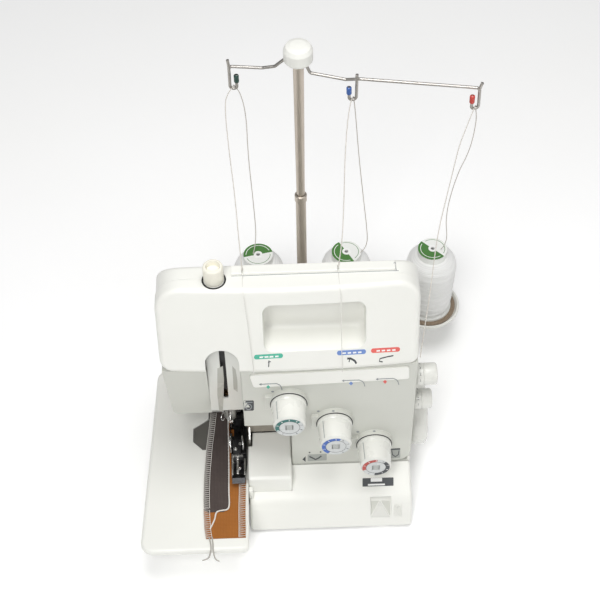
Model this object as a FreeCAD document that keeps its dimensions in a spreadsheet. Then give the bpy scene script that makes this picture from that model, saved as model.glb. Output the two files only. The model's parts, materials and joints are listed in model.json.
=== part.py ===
import FreeCAD, Part
import Sketcher
import math
import os

# Overlock (serger) sewing machine, in millimetres.
# X to the right, Y to the back, Z up. The origin is the middle of the
# footprint, on the surface that the feet stand on.

V3 = FreeCAD.Vector
doc = FreeCAD.newDocument("overlock_machine")
sheet = doc.addObject("Spreadsheet::Sheet", "Dims")


class Val:
    """A number together with the sheet expression that gives it."""

    def __init__(self, n, e):
        self.n = float(n)
        self.e = e

    def _o(self, other):
        return (other.n, other.e) if isinstance(other, Val) else (float(other), "%.6g" % other)

    def __add__(self, o):
        n, e = self._o(o)
        return Val(self.n + n, "(%s + %s)" % (self.e, e))

    def __radd__(self, o):
        return self + o

    def __sub__(self, o):
        n, e = self._o(o)
        return Val(self.n - n, "(%s - %s)" % (self.e, e))

    def __rsub__(self, o):
        n, e = self._o(o)
        return Val(n - self.n, "(%s - %s)" % (e, self.e))

    def __mul__(self, o):
        n, e = self._o(o)
        return Val(self.n * n, "(%s * %s)" % (self.e, e))

    def __rmul__(self, o):
        return self * o

    def __truediv__(self, o):
        n, e = self._o(o)
        return Val(self.n / n, "(%s / %s)" % (self.e, e))

    def __neg__(self):
        return Val(-self.n, "(0 - %s)" % self.e)


def num(v):
    return v.n if isinstance(v, Val) else float(v)


ROW = [0]


def par(alias, value, note):
    """Put a driving dimension into the sheet and return it."""
    ROW[0] += 1
    r = ROW[0]
    sheet.set("A%d" % r, note)
    sheet.set("B%d" % r, "%.6g" % value)
    sheet.setAlias("B%d" % r, alias)
    return Val(value, "Dims." + alias)


def bind(obj, prop, v):
    if isinstance(v, Val):
        obj.setExpression(prop, v.e)


# ------------------------------------------------------------ dimensions
wall = par("wall", 2.5, "thickness of the moulded walls")
foot_h = par("foot_height", 4, "height of the rubber feet")
pan_t = par("pan_thick", 6, "thickness of the base pan")
bed_top = par("bed_top", 55, "height of the sewing surface")
bed_t = par("bed_thick", 7, "thickness of the cloth plate")
arm_l = par("arm_left", -132, "left end of the arm")
arm_r = par("arm_right", 93, "right side of the body")
arm_top = par("arm_top", 290, "height of the arm")
head_bot = par("head_bottom", 116, "underside of the head")
col_l = par("column_left", -20, "left side of the column")
seam_y = par("seam_depth", -38, "joint between front and rear casing")
back_y = par("back_depth", 86, "back of the column")
panel_y = par("panel_depth", -69, "face of the dial panel")
cover_z = par("cover_split", 204, "lower edge of the front cover")
shaft_y = par("shaft_depth", -20, "main shaft, depth")
shaft_z = par("shaft_level", 62, "main shaft, height")
shaft_r = par("shaft_rad", 5, "main shaft radius")
wheel_r = par("wheel_rad", 32, "handwheel radius")
pull_r = par("pulley_rad", 24, "drive pulley radius")
mot_y = par("motor_depth", 42, "motor axis, depth")
mot_z = par("motor_level", 66, "motor axis, height")
mot_r = par("motor_rad", 22, "motor radius")
mpul_r = par("motor_pulley_rad", 9, "motor pulley radius")
need_x = par("needle_side", -77, "needle, position across")
need_y = par("needle_depth", -36, "needle, depth")
pbar_x = par("presser_side", -71, "presser bar, position across")
pbar_y = par("presser_depth", -12, "presser bar, depth")
bar_r = par("needle_bar_rad", 3.5, "needle bar radius")
pbar_r = par("presser_bar_rad", 3, "presser bar radius")
run = par("running_gap", 0.05, "radial running clearance")
knob_r = par("knob_rad", 15.5, "tension dial radius")
knob_len = par("knob_length", 25, "tension dial length")
stud_r = par("stud_rad", 3, "tension stud radius")
sdial_r = par("side_dial_rad", 10.3, "stitch length dial radius")
ddial_r = par("diff_dial_rad", 9.5, "differential dial radius")
dish_r = par("dish_rad", 33, "spool dish radius")
dish_z = par("dish_level", 40, "spool dish underside")
spool_y = par("spool_depth", 129, "row of spools, depth")
spool_h = par("spool_height", 87, "height of a cone of thread")
mast_x = par("mast_side", -3, "mast, position across")
mast_low = par("mast_joint", 217, "top of the lower mast tube")
mast_top = par("mast_top", 381, "top of the upper mast tube")
mast_bore = par("mast_bore_rad", 4.45, "bore of the lower mast tube")
mast_out = par("mast_tube_rad", 5, "outside of the lower mast tube")
wire_r = par("guide_wire_rad", 1.4, "radius of the bent guide wires")
guide_z = par("guide_level", 370, "height of the guide wires")
thr_r = par("thread_rad", 0.45, "thread radius, between spools and guides")
fthr_r = par("front_thread_rad", 0.3, "thread radius on the front cover")
hinge_y = par("cover_hinge_depth", -103.6, "looper cover hinge, depth")
hinge_z = par("cover_hinge_level", 15, "looper cover hinge, height")
doc.recompute()

SPOOL_X = (-47.0, 42.0, 129.0)
KNOBS = ((-21.4, 156.0), (19.9, 123.5), (57.2, 86.5))
pan_top = foot_h + pan_t
bed_bot = bed_top - bed_t

COUNT = [0]


def nm(kind):
    COUNT[0] += 1
    return "%s_%03d" % (kind, COUNT[0])


# ------------------------------------------------------------- builders
def base_at(o, x, y, z):
    o.Placement.Base = V3(num(x), num(y), num(z))
    for k, v in (("x", x), ("y", y), ("z", z)):
        bind(o, ".Placement.Base." + k, v)


def box(x0, x1, y0, y1, z0, z1):
    o = doc.addObject("Part::Box", nm("block"))
    for p, a, b in (("Length", x0, x1), ("Width", y0, y1), ("Height", z0, z1)):
        d = (b - a) if isinstance(a, Val) or isinstance(b, Val) else float(b) - float(a)
        setattr(o, p, num(d))
        bind(o, p, d)
    base_at(o, x0, y0, z0)
    return o


def turn(axis):
    if axis == "X":
        return FreeCAD.Rotation(V3(0, 1, 0), 90)
    if axis == "Y":
        return FreeCAD.Rotation(V3(1, 0, 0), -90)
    return FreeCAD.Rotation()


def along(o, axis, c, lo):
    o.Placement.Rotation = turn(axis)
    if axis == "X":
        base_at(o, lo, c[0], c[1])
    elif axis == "Y":
        base_at(o, c[0], lo, c[1])
    else:
        base_at(o, c[0], c[1], lo)


def span(lo, hi):
    return (hi - lo) if isinstance(lo, Val) or isinstance(hi, Val) else float(hi) - float(lo)


def cyl(axis, c, r, lo, hi):
    o = doc.addObject("Part::Cylinder", nm("round"))
    h = span(lo, hi)
    o.Radius = num(r)
    o.Height = num(h)
    along(o, axis, c, lo)
    bind(o, "Radius", r)
    bind(o, "Height", h)
    return o


def cone(axis, c, r0, r1, lo, hi):
    o = doc.addObject("Part::Cone", nm("taper"))
    h = span(lo, hi)
    o.Radius1 = num(r0)
    o.Radius2 = num(r1)
    o.Height = num(h)
    along(o, axis, c, lo)
    bind(o, "Radius1", r0)
    bind(o, "Radius2", r1)
    bind(o, "Height", h)
    return o


def fuse(*objs):
    o = doc.addObject("Part::MultiFuse", nm("joined"))
    o.Shapes = list(objs)
    o.Refine = True
    return o


def common(*objs):
    o = doc.addObject("Part::MultiCommon", nm("shared"))
    o.Shapes = list(objs)
    return o


def cut(base, *tools):
    for t in tools:
        o = doc.addObject("Part::Cut", nm("trimmed"))
        o.Base = base
        o.Tool = t
        base = o
    return base


def group(objs):
    o = doc.addObject("Part::Compound", nm("set"))
    o.Links = list(objs)
    return o


def plane_of(body, role):
    return [f for f in body.Origin.OriginFeatures if f.Role == role][0]


def outline(body, plane, pts, off):
    """A closed polygon whose corners are dimensioned from the sheet."""
    sk = body.newObject("Sketcher::SketchObject", nm("outline"))
    sk.AttachmentSupport = [(plane_of(body, plane + "_Plane"), "")]
    sk.MapMode = "FlatFace"
    sk.AttachmentOffset = FreeCAD.Placement(V3(0, 0, num(off)), FreeCAD.Rotation())
    bind(sk, ".AttachmentOffset.Base.z", off)
    n = len(pts)
    p = [V3(num(a), num(b), 0) for a, b in pts]
    sk.addGeometry([Part.LineSegment(p[i], p[(i + 1) % n]) for i in range(n)], False)
    sk.addConstraint([Sketcher.Constraint("Coincident", i, 2, (i + 1) % n, 1) for i in range(n)])
    for i, (a, b) in enumerate(pts):
        for kind, v, ax in (("DistanceX", a, -2), ("DistanceY", b, -1)):
            if abs(num(v)) < 1e-9:
                sk.addConstraint(Sketcher.Constraint("PointOnObject", i, 1, ax))
            else:
                k = sk.addConstraint(Sketcher.Constraint(kind, -1, 1, i, 1, num(v)))
                bind(sk, "Constraints[%d]" % k, v)
    return sk


def prism(plane, pts, lo, hi, rounds=()):
    """A padded outline. rounds: ("v", corner numbers, r), ("hi", None, r), ("lo", None, r)."""
    body = doc.addObject("PartDesign::Body", nm("piece"))
    off = (-hi if isinstance(hi, Val) else -float(hi)) if plane == "XZ" else lo
    sk = outline(body, plane, pts, off)
    pad = body.newObject("PartDesign::Pad", nm("pad"))
    pad.Profile = sk
    d = span(lo, hi)
    pad.Length = num(d)
    bind(pad, "Length", d)
    doc.recompute()
    ia, ib, ic = {"XY": (0, 1, 2), "XZ": (0, 2, 1), "YZ": (1, 2, 0)}[plane]
    feat = pad
    for kind, ids, r in rounds:
        names = []
        for k, e in enumerate(feat.Shape.Edges):
            vs = [v.Point for v in e.Vertexes]
            if kind == "v":
                for i in ids:
                    a, b = num(pts[i][0]), num(pts[i][1])
                    if len(vs) == 2 and all(abs(q[ia] - a) < 1e-4 and abs(q[ib] - b) < 1e-4 for q in vs):
                        names.append("Edge%d" % (k + 1))
            else:
                c = num(hi) if kind == "hi" else num(lo)
                if vs and all(abs(q[ic] - c) < 1e-4 for q in vs) and abs(e.CenterOfMass[ic] - c) < 1e-4:
                    names.append("Edge%d" % (k + 1))
        f = body.newObject("PartDesign::Fillet", nm("rounding"))
        f.Base = (feat, names)
        f.Radius = num(r)
        bind(f, "Radius", r)
        doc.recompute()
        feat = f
    body.Tip = feat
    return body


def lathe(pts, pos=(0, 0, 0), axis="Z", flip=False):
    """A turned piece: (radius, height) outline about its own Z axis, then placed."""
    body = doc.addObject("PartDesign::Body", nm("turned"))
    sk = outline(body, "XZ", pts, 0)
    rv = body.newObject("PartDesign::Revolution", nm("revolve"))
    rv.Profile = sk
    rv.ReferenceAxis = (sk, ["V_Axis"])
    rv.Angle = 360
    doc.recompute()
    body.Tip = rv
    rot = turn(axis)
    if flip:
        rot = rot.multiply(FreeCAD.Rotation(V3(1, 0, 0), 180))
    body.Placement = FreeCAD.Placement(V3(*[num(q) for q in pos]), rot)
    for k, v in zip("xyz", pos):
        bind(body, ".Placement.Base." + k, v)
    return body


def rounded(base, pick, r):
    """Round the edges of a finished solid that pick() chooses."""
    doc.recompute()
    o = doc.addObject("Part::Fillet", nm("rounded"))
    o.Base = base
    o.Edges = [(i + 1, num(r), num(r)) for i, e in enumerate(base.Shape.Edges) if pick(e)]
    doc.recompute()
    return o


def free_shape(shape):
    o = doc.addObject("Part::Feature", nm("formed"))
    o.Shape = shape
    o.Placement = FreeCAD.Placement()
    return o


def tube_path(pts, r, radius):
    """A round rod along straight runs joined by tangent arcs of one radius."""
    p = [V3(*q) for q in pts]
    edges = []
    at = p[0]
    for i in range(1, len(p) - 1):
        a = (p[i - 1] - p[i]).normalize()
        b = (p[i + 1] - p[i]).normalize()
        ang = a.getAngle(b)
        room = 0.45 * min((p[i - 1] - p[i]).Length, (p[i + 1] - p[i]).Length)
        d = min(radius / math.tan(ang / 2.0), room)
        rr = d * math.tan(ang / 2.0)
        s = p[i] + a * d
        e = p[i] + b * d
        bis = (a + b).normalize()
        m = p[i] + bis * (rr / math.sin(ang / 2.0) - rr)
        edges.append(Part.LineSegment(at, s).toShape())
        edges.append(Part.Arc(s, m, e).toShape())
        at = e
    edges.append(Part.LineSegment(at, p[-1]).toShape())
    w = Part.Wire(edges)
    d0 = (p[1] - p[0]).normalize()
    circ = Part.Wire([Part.Circle(p[0], d0, r).toShape()])
    if len(p) == 2:
        return Part.makeCylinder(r, (p[1] - p[0]).Length, p[0], d0)
    return w.makePipeShell([circ], True, False)


NODES = []


def node(label, obj):
    obj.Label = label
    NODES.append((label, obj))
    return obj


# ================================================================ casing
# base pan: a plate with a notch for the looper cover and two hinge ears
pan = prism("XY", [(-138, -108), (-64, -108), (-64, -84), (arm_r - 1, -84), (arm_r - 1, 113), (-62, 113), (-62, 46), (-138, 46)],
            foot_h, pan_top, (("v", (0, 4, 5, 7), 12), ("v", (1,), 5)))
ears = []
for x0, x1 in ((-52, -46), (79, 85)):
    ears.append(box(x0, x1, -90, -80, foot_h, hinge_z + 3))
    ears.append(box(x0, x1, hinge_y, -82, hinge_z - 3, hinge_z + 3))
    ears.append(cyl("X", (hinge_y, hinge_z), 3.2, x0, x1))
pan = fuse(pan, *ears)
pan = cut(pan, cyl("X", (hinge_y, hinge_z), 2 + run, -56, 90))

node("rubber_feet", group([lathe([(0, 0), (8, 0), (10, 2), (10, foot_h), (0, foot_h)], (x, y, 0))
                           for x, y in ((-122, -92), (76, -70), (-122, 30), (76, 96), (-46, 96))]))

# bed housing under the cloth plate, leaning in towards its foot
bh_o = prism("YZ", [(-112, pan_top), (44, pan_top), (44, bed_bot), (-148, bed_bot)], -150, -62.5, (("v", (0,), 8),))
bh_i = prism("YZ", [(-109, pan_top), (44 - wall, pan_top), (44 - wall, bed_bot + 1), (-146, bed_bot + 1)], -147, -60)
node("base_pan", fuse(pan, cut(bh_o, bh_i), box(-64, col_l - 0.5, 44 - wall, 44, pan_top - 1, bed_bot)))

# cloth plate with the pocket that takes the needle plate
cp = prism("XY", [(-162, -162), (-62, -162), (-62, -7.6), (col_l - 0.4, -7.6), (col_l - 0.4, 46), (-152, 46), (-155, -20)], bed_bot, bed_top,
           (("v", (0,), 12), ("v", (1,), 5), ("v", (5,), 10), ("hi", None, 3.5), ("lo", None, 2)))
cp = cut(cp, prism("XY", [(-60, -52.4), (-105.6, -52.4), (-115, -42.6), (-115, -27), (-105.2, -20.2), (-100.4, -16.7), (-100.4, -7.6), (-60, -7.6)],
                   bed_bot - 1, bed_top + 1))
node("cloth_plate", cp)

npl = prism("XY", [(-62.5, -52), (-105.4, -52), (-114.6, -42.4), (-114.6, -27.2), (-105, -20.6), (-100, -17), (-100, -8), (-62.5, -8)],
            bed_bot, bed_top, (("hi", None, 0.6),))
npl = cut(npl, box(-74.6, -70.4, -49, -21, 45, 60), box(-68.6, -64.4, -49, -21, 45, 60),
          cyl("Z", (need_x, need_y), 1.2, 45, 60))
node("needle_plate", npl)

# rear casing: column and arm, leaning away towards the top
RS = [(col_l, pan_top), (arm_r, pan_top), (arm_r, arm_top), (arm_l, arm_top), (arm_l + 4, head_bot), (col_l, head_bot)]
rs_o = prism("XZ", RS, seam_y, back_y, (("v", (2,), 20), ("v", (3,), 24), ("v", (4,), 10)))
RI = [(col_l + wall, pan_top - 1), (arm_r - wall, pan_top - 1), (arm_r - wall, arm_top - wall), (arm_l + wall, arm_top - wall),
      (arm_l + 4 + wall, head_bot + wall), (col_l + wall, head_bot + wall)]
rs_i = prism("XZ", RI, seam_y - 1, back_y - wall, (("v", (2,), 17.5), ("v", (3,), 21.5), ("v", (4,), 7.5)))
# the back slopes from the top edge to the foot of the column, and the arm is shallower
wedge_o = prism("YZ", [(-24, arm_top), (back_y, 112), (back_y + 8, 112), (back_y + 8, arm_top + 8), (-24, arm_top + 8)], -170, 130)
wedge_i = prism("YZ", [(-31.9, arm_top + 8), (83.9, 110.7), (back_y + 8, 110.7), (back_y + 8, arm_top + 8)], -170, 130)
outer = cut(rs_o, wedge_o, box(-170, col_l, 42, 120, 60, arm_top + 8))
inner = cut(rs_i, wedge_i, box(-170, col_l + wall, 42 - wall, 120, 60, arm_top + 8))


def back_edge(e):
    b, c = e.BoundBox, e.CenterOfMass
    if abs(b.YMin - num(seam_y)) < 1e-3 or b.ZMax < num(pan_top) + 0.5:
        return False
    return not (abs(c.x - num(col_l)) < 0.6 and c.y > 41)


shell = cut(rounded(outer, back_edge, 6), inner)
shell = cut(shell, cyl("X", (shaft_y, shaft_z), 7, 85, 100),
            box(-95, col_l - 0.5, -40, 2, head_bot - 4, head_bot + 6),
            box(-77.5, -64.5, 30, 60, 118, 168),
            box(85, 100, 36.5, 53.5, 33, 47), box(85, 100, 14, 27, 33, 47),
            box(col_l - 3, col_l + 4, -9, 5, pan_top - 2, pan_top + 7))
node("rear_shell", shell)

# front cover of the arm: slanted, slightly bowed, with the handle recess
AX = -19.5
BOW = 1164.0


def bowed(pts):
    body = doc.addObject("PartDesign::Body", nm("bowed"))
    sk = outline(body, "YZ", [(y - BOW, z) for y, z in pts], 0)
    rv = body.newObject("PartDesign::Revolution", nm("revolve"))
    rv.Profile = sk
    rv.ReferenceAxis = (sk, ["V_Axis"])
    rv.Angle = 16
    rv.Midplane = True
    doc.recompute()
    body.Tip = rv
    body.Placement = FreeCAD.Placement(V3(AX, BOW, 0), FreeCAD.Rotation())
    return body


fo = common(bowed([(-10, cover_z), (-76.8, cover_z), (-54, arm_top), (-10, arm_top)]),
            prism("XZ", [(arm_l, cover_z), (arm_r, cover_z), (arm_r, arm_top), (arm_l, arm_top)], -95, seam_y,
                  (("v", (0,), 12), ("v", (1,), 8), ("v", (2,), 20), ("v", (3,), 24))))
doc.recompute()
face = min(fo.Shape.Faces, key=lambda f: f.CenterOfMass.y)
rim = [e.CenterOfMass for e in face.Edges]
fo = rounded(fo, lambda e: any((e.CenterOfMass - c).Length < 1e-4 for c in rim), 5)
fi = common(bowed([(-5, cover_z + 2.8), (-72.9, cover_z + 2.8), (-51.6, arm_top - wall), (-5, arm_top - wall)]),
            prism("XZ", [(arm_l + wall, cover_z + wall), (arm_r - wall, cover_z + wall), (arm_r - wall, arm_top - wall), (arm_l + wall, arm_top - wall)],
                  -95, seam_y + 1, (("v", (0,), 9.5), ("v", (1,), 5.5), ("v", (2,), 17.5), ("v", (3,), 21.5))))
niche_o = common(fo, prism("XZ", [(-43.5, 225.5), (49, 225.5), (49, 277.5), (-43.5, 277.5)], -90, -39.5, (("v", (0, 1, 2, 3), 10),)))
niche_i = prism("XZ", [(-41, 228), (46.5, 228), (46.5, 275), (-41, 275)], -95, -42, (("v", (0, 1, 2, 3), 8), ("hi", None, 5)))
arch = prism("XZ", [(-92.5, 100), (-63, 100), (-63, 230), (-92.5, 230)], -95, seam_y + 0.5, (("v", (2, 3), 14.6),))
cov = cut(fuse(cut(fo, fi), niche_o), niche_i, arch)
node("front_cover", cov)

# left face cover below it, leaning back to the needle
fc_o = prism("YZ", [(seam_y, head_bot), (-53, head_bot), (-69, cover_z - 0.3), (seam_y, cover_z - 0.3)], arm_l + 1, -63, (("v", (1,), 4),))
fc_o = common(fc_o, prism("XZ", [(arm_l + 4, head_bot - 1), (-50, head_bot - 1), (-50, cover_z + 1), (arm_l + 1, cover_z + 1)], -90, -30, (("v", (0,), 10),)))
fc_i = prism("YZ", [(seam_y + 1, head_bot + wall), (-50.6, head_bot + wall), (-66.3, cover_z + 1), (seam_y + 1, cover_z + 1)], arm_l + 6, -50)
node("face_cover", cut(fc_o, fc_i, box(-95, -50, -49.5, -30, head_bot - 4, head_bot + 8), arch))

# plate at the back of the arch, with the slot of the take-up
nw = prism("XZ", [(-92.3, 132), (-63.2, 132), (-63.2, 229.8), (-92.3, 229.8)], -61, -59, (("v", (2, 3), 14.4),))
node("needle_window", cut(nw, prism("XZ", [(-80.5, 150), (-75.5, 150), (-75.5, 222), (-80.5, 222)], -70, -50, (("v", (0, 1, 2, 3), 2.4),))))

# dial panel: L-shaped face with the right-hand cheek
DP = [(col_l, 50.3), (arm_r, 50.3), (arm_r, cover_z - 0.3), (-62.8, cover_z - 0.3), (-62.8, head_bot), (col_l, head_bot)]
dp = prism("XZ", DP, panel_y, seam_y, (("v", (1,), 14), ("v", (5,), 3), ("lo", None, 1.5)))
dpi = prism("XZ", [(col_l + wall, 50.3 + wall), (arm_r - wall, 50.3 + wall), (arm_r - wall, cover_z + 5), (-60.3, cover_z + 5), (-60.3, head_bot + wall), (col_l + wall, head_bot + wall)],
            panel_y + wall, seam_y + 1, (("v", (1,), 11.5),))
# notches for the bars of the inner frame and for the drive belt
dp = cut(dp, dpi, box(-70, col_l - 0.5, -60, -30, head_bot - 4, head_bot + 6),
         box(-64, -59, -47, -30, 119, 131), box(-64, -59, -47, -30, 185, 206),
         box(-17.6, -8.4, -47, -30, 47, 54), box(65.4, 74.6, -47, -30, 47, 54), box(28.5, 41.5, -49, -30, 47, 57))
# raised collars behind the tension dials, with the tab for the pointer
collars = []
for x, z in KNOBS:
    collars.append(cyl("Y", (x, z), 17.5, panel_y - 5, panel_y + 1))
    collars.append(box(x - 21, x, panel_y - 3.5, panel_y + 1, z - 9, z + 9))
dp = fuse(dp, *collars)
for x, z in KNOBS:
    dp = cut(dp, cyl("Y", (x, z), stud_r, panel_y - 9, panel_y + 8))
SDIAL = (-50.0, 162.0)
DDIAL = (-50.0, 124.5)
dp = cut(dp, cyl("X", SDIAL, 3 + run, 86, 98), cyl("X", DDIAL, 3 + run, 86, 98))
node("dial_panel", dp)

node("case_screws", group([lathe([(0, -1.6), (4, -1.6), (4, 0), (0, 0)], (x, back_y + 1.6, z), "Y")
                           for x, z in ((-8, 24), (80, 24), (-8, 80), (80, 80))]))

# =========================================================== inner frame
fr = fuse(box(-17, 86, -60, 62, pan_top, pan_top + 6),
          box(-17, -9, -46, 22, pan_top + 5, 204), box(66, 74, -46, 40, pan_top + 5, 130),
          box(-88, -16, -46, -4, 186, 204), box(-88, -16, -46, -4, 120, 130),
          box(-118, -16, -8, 4, pan_top, pan_top + 6), box(-118, -110, -50, 4, pan_top, bed_bot),
          box(-70, -60, -14, 4, pan_top, bed_bot), box(-98, -86, -8, 4, pan_top, 36),
          box(-58, -46, -8, 4, pan_top, 34), box(-40, -28, -8, 4, pan_top, 38), box(-40, -28, -53, -6, 30, 38),
          box(-8, 20, mot_y - 14, mot_y + 14, pan_top + 5, 48), box(-88, -80, -8, 10, 121, 157))
fr = cut(fr, cyl("X", (shaft_y, shaft_z), 8, -30, 80), cyl("X", (mot_y, mot_z), mot_r, -20, 24),
         cyl("Z", (need_x, need_y), 6.5, 100, 210), cyl("Z", (pbar_x, pbar_y), 6, 100, 210),
         cyl("Y", (-92, 28), 3 + run, -20, 10), cyl("Y", (-52, 26), 3 + run, -20, 10),
         cyl("Z", (-34, -47), 3 + run, 20, 45), cyl("X", (4, 150), 2 + run, -92, -76))
node("main_frame", fr)


def ring(axis, c, ro, ri, lo, hi):
    return cut(cyl(axis, c, ro, lo, hi), cyl(axis, c, ri, num(lo) - 1, num(hi) + 1))


node("bushes", group([ring("X", (shaft_y, shaft_z), 8, shaft_r + run, -17, -9), ring("X", (shaft_y, shaft_z), 8, shaft_r + run, 66, 74),
                          ring("Z", (need_x, need_y), 6.5, bar_r + run, 186, 206), ring("Z", (need_x, need_y), 6.5, bar_r + run, 112, 132),
                          ring("Z", (pbar_x, pbar_y), 6, pbar_r + run, 186, 206), ring("Z", (pbar_x, pbar_y), 6, pbar_r + run, 118, 132)]))
mo = lathe([(0, 0), (mot_r - 4, 0), (mot_r, 4), (mot_r, 32), (mot_r - 3, 35), (8, 35), (8, 37), (3.2, 37), (3.2, 30), (0, 30)], (-13, mot_y, mot_z), "X")
node("motor", mo)

# belt round the two pulleys
def belt_wire(r1, r2):
    d = math.hypot(num(mot_y) - num(shaft_y), num(mot_z) - num(shaft_z))
    a0 = math.atan2(num(mot_z) - num(shaft_z), num(mot_y) - num(shaft_y))
    b = math.acos((r1 - r2) / d)

    def pt(c, r, a):
        return V3(31, num(c[0]) + r * math.cos(a), num(c[1]) + r * math.sin(a))
    c1, c2 = (shaft_y, shaft_z), (mot_y, mot_z)
    p1, p2 = pt(c1, r1, a0 + b), pt(c1, r1, a0 - b)
    q1, q2 = pt(c2, r2, a0 + b), pt(c2, r2, a0 - b)
    return Part.Wire([Part.Arc(p1, pt(c1, r1, a0 + math.pi), p2).toShape(), Part.LineSegment(p2, q2).toShape(),
                      Part.Arc(q2, pt(c2, r2, a0), q1).toShape(), Part.LineSegment(q1, p1).toShape()])


bo = Part.Face(belt_wire(num(pull_r) + 1.9, num(mpul_r) + 1.9)).extrude(V3(8, 0, 0))
bi = Part.Face(belt_wire(num(pull_r) + 0.3, num(mpul_r) + 0.3)).extrude(V3(8, 0, 0))
node("drive_belt", free_shape(bo.cut(bi)))

# ============================================================== top trim
st = prism("YZ", [(-36.5, arm_top), (-26, arm_top), (-26.6, arm_top + 2.6), (-36, arm_top + 2.6)], -66, 72, (("v", (2, 3), 1),))
st = cut(st, box(-57.2, -55.8, -40, -30, arm_top - 1, arm_top + 5), box(23.3, 24.7, -40, -30, arm_top - 1, arm_top + 5))
node("thread_guide_strip", st)
tg = prism("XZ", [(-52, 178), (86, 183), (85, 200), (-55, 196)], panel_y - 1.6, panel_y, (("v", (0, 1, 2, 3), 3),))
node("tension_guide_plate", tg)
node("tension_studs", group([cyl("Y", (x, z), stud_r, -96, -45) for x, z in KNOBS]))
node("tension_discs", group([ring("Y", (x, z), 11, stud_r, y, y + 1.2) for x, z in KNOBS for y in (-64, -62.6)]))


# the outer shape of each tension spring, as a sleeve round its stud
node("tension_springs", group([ring("Y", (x, z), 5.6, 4.2, -61, -49) for x, z in KNOBS]))

# ========================================================== thread stand
stand = prism("XY", [(-86, 112), (152, 112), (152, 146), (-86, 146)], 30, dish_z, (("v", (0, 1, 2, 3), 15), ("hi", None, 3)))
node("spool_stand", fuse(stand, box(-60, 80, 92, 124, pan_top, 32)))
node("spool_dishes", group([lathe([(0, 0), (dish_r - 3, 0), (dish_r, 4), (dish_r, 6.5), (dish_r - 2, 6.5), (dish_r - 4, 3), (3, 3), (3, 72), (2, 75), (0, 75)],
                                  (x, spool_y, dish_z)) for x in SPOOL_X]))
node("felt_pads", group([ring("Z", (x, spool_y), 28.6, 3, dish_z + 3, dish_z + 5) for x in SPOOL_X]))
z0 = dish_z + 5
node("spool_cores", group([lathe([(3.3, 0), (24, 0), (24, 2), (22, 4), (14.5, spool_h - 2), (13.5, spool_h), (6, spool_h), (6, spool_h - 4), (3.3, spool_h - 4)],
                                 (x, spool_y, z0)) for x in SPOOL_X]))
node("thread_windings", group([lathe([(22.1, 4.7), (23, 7), (23.6, 16), (24.4, 36), (25.3, 56), (25.5, 64), (24.6, 69.5), (21.5, 75), (17.5, 78.6), (15.8, 79.5)],
                                     (x, spool_y, z0)) for x in SPOOL_X]))
node("mast_lower_tube", lathe([(mast_bore, 0), (mast_out, 0), (mast_out, mast_low - dish_z - 9), (mast_out + 0.9, mast_low - dish_z - 8),
                               (mast_out + 0.9, mast_low - dish_z - 1), (mast_out, mast_low - dish_z), (mast_bore, mast_low - dish_z)],
                              (mast_x, spool_y, dish_z)))
node("mast_upper_tube", cone("Z", (mast_x, spool_y), 3.9, 4.9, mast_low - 22, mast_top))
node("mast_cap", lathe([(0, 0), (11.5, 0), (13, 2), (13, 12), (11, 16), (7, 17.5), (0, 18)], (mast_x, spool_y, mast_top)))

# bent guide wires held in the cap, with hanging eyelets and coloured tips
LW = [(-8, 129.5, 387), (-13, 130.2, 384), (-23.5, 132, 373), (-34.7, 134, 370), (-63.8, 138, 369.6), (-63.8, 137.2, 345.2), (-57.6, 137, 345), (-57.8, 137.2, 360.5)]
RW = [(1.5, 127.4, 388), (2.4, 126.6, 381.5), (7, 125, 370.3), (38, 118, 367.4), (50, 113.3, 371.6), (151.7, 97, 371.2), (151.8, 95, 350.6), (145.7, 94.4, 350), (145.6, 94.6, 365.2)]
MW = [(47.2, 114.4, 370.6), (47, 113.8, 348.6), (40.7, 113.5, 348), (40.4, 113.5, 362.8)]
rw = tube_path(RW, num(wire_r), 3).fuse(tube_path(MW, num(wire_r), 3))
node("guide_wires", free_shape(Part.makeCompound([tube_path(LW, num(wire_r), 3), rw.removeSplitter()])))


def tip(p, q):
    d = V3(*q) - V3(*p)
    return Part.makeCylinder(2.3, d.Length, V3(*p), d.normalize()).cut(Part.makeCylinder(num(wire_r), 60, V3(*p) - d * 15, d))


def tip_on(path, t0, t1):
    a, b = V3(*path[-2]), V3(*path[-1])
    return tip(a + (b - a) * t0, a + (b - a) * t1)


node("guide_tips", free_shape(Part.makeCompound([tip_on(LW, 0.5, 0.98), tip_on(MW, 0.5, 0.98), tip_on(RW, 0.5, 0.98)])))

# =============================================================== threads
TH_UP = [[(-52, 129, 133.5), (-60.1, 139.4, 346.4)], [(56, 126, 133.5), (44.5, 116.0, 349.6)], [(137, 127, 133.5), (149.6, 97.1, 351.6)]]
TH_DN = [[(-61.5, 135.8, 347.2), (-56.5, -33, 293.2)], [(43.0, 112.3, 350.2), (24, -33, 293.2)]]
TH_SIDE = [(148.1, 93.3, 352.4), (99.5, -45, 226), (94.8, -64, 205)]
node("spool_threads", free_shape(Part.makeCompound([tube_path(p, num(thr_r), 1) for p in TH_UP])))
node("mast_threads", free_shape(Part.makeCompound([tube_path(p, num(thr_r), 1) for p in TH_DN])))
node("side_thread", free_shape(tube_path(TH_SIDE, num(thr_r), 30)))
TH_FR = [[(-56.5, -37.5, 290.6), (-56.4, -53.6, 290.6), (-55.4, -60, 281), (-50.5, -77.8, 206)],
         [(24, -37.5, 290.6), (24.5, -53.8, 290.6), (25, -60, 281.5), (26, -77.6, 206)]]
node("front_threads", free_shape(Part.makeCompound([tube_path(p, num(fthr_r), 4) for p in TH_FR])))
sw = prism("XY", [(-104.5, -151), (-63, -149), (-63, -8), (-104.5, -8)], bed_top + 0.15, bed_top + 1.1)
node("test_cloth", cut(sw, cyl("Z", (need_x, need_y), 1.3, 50, 60)))

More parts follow.
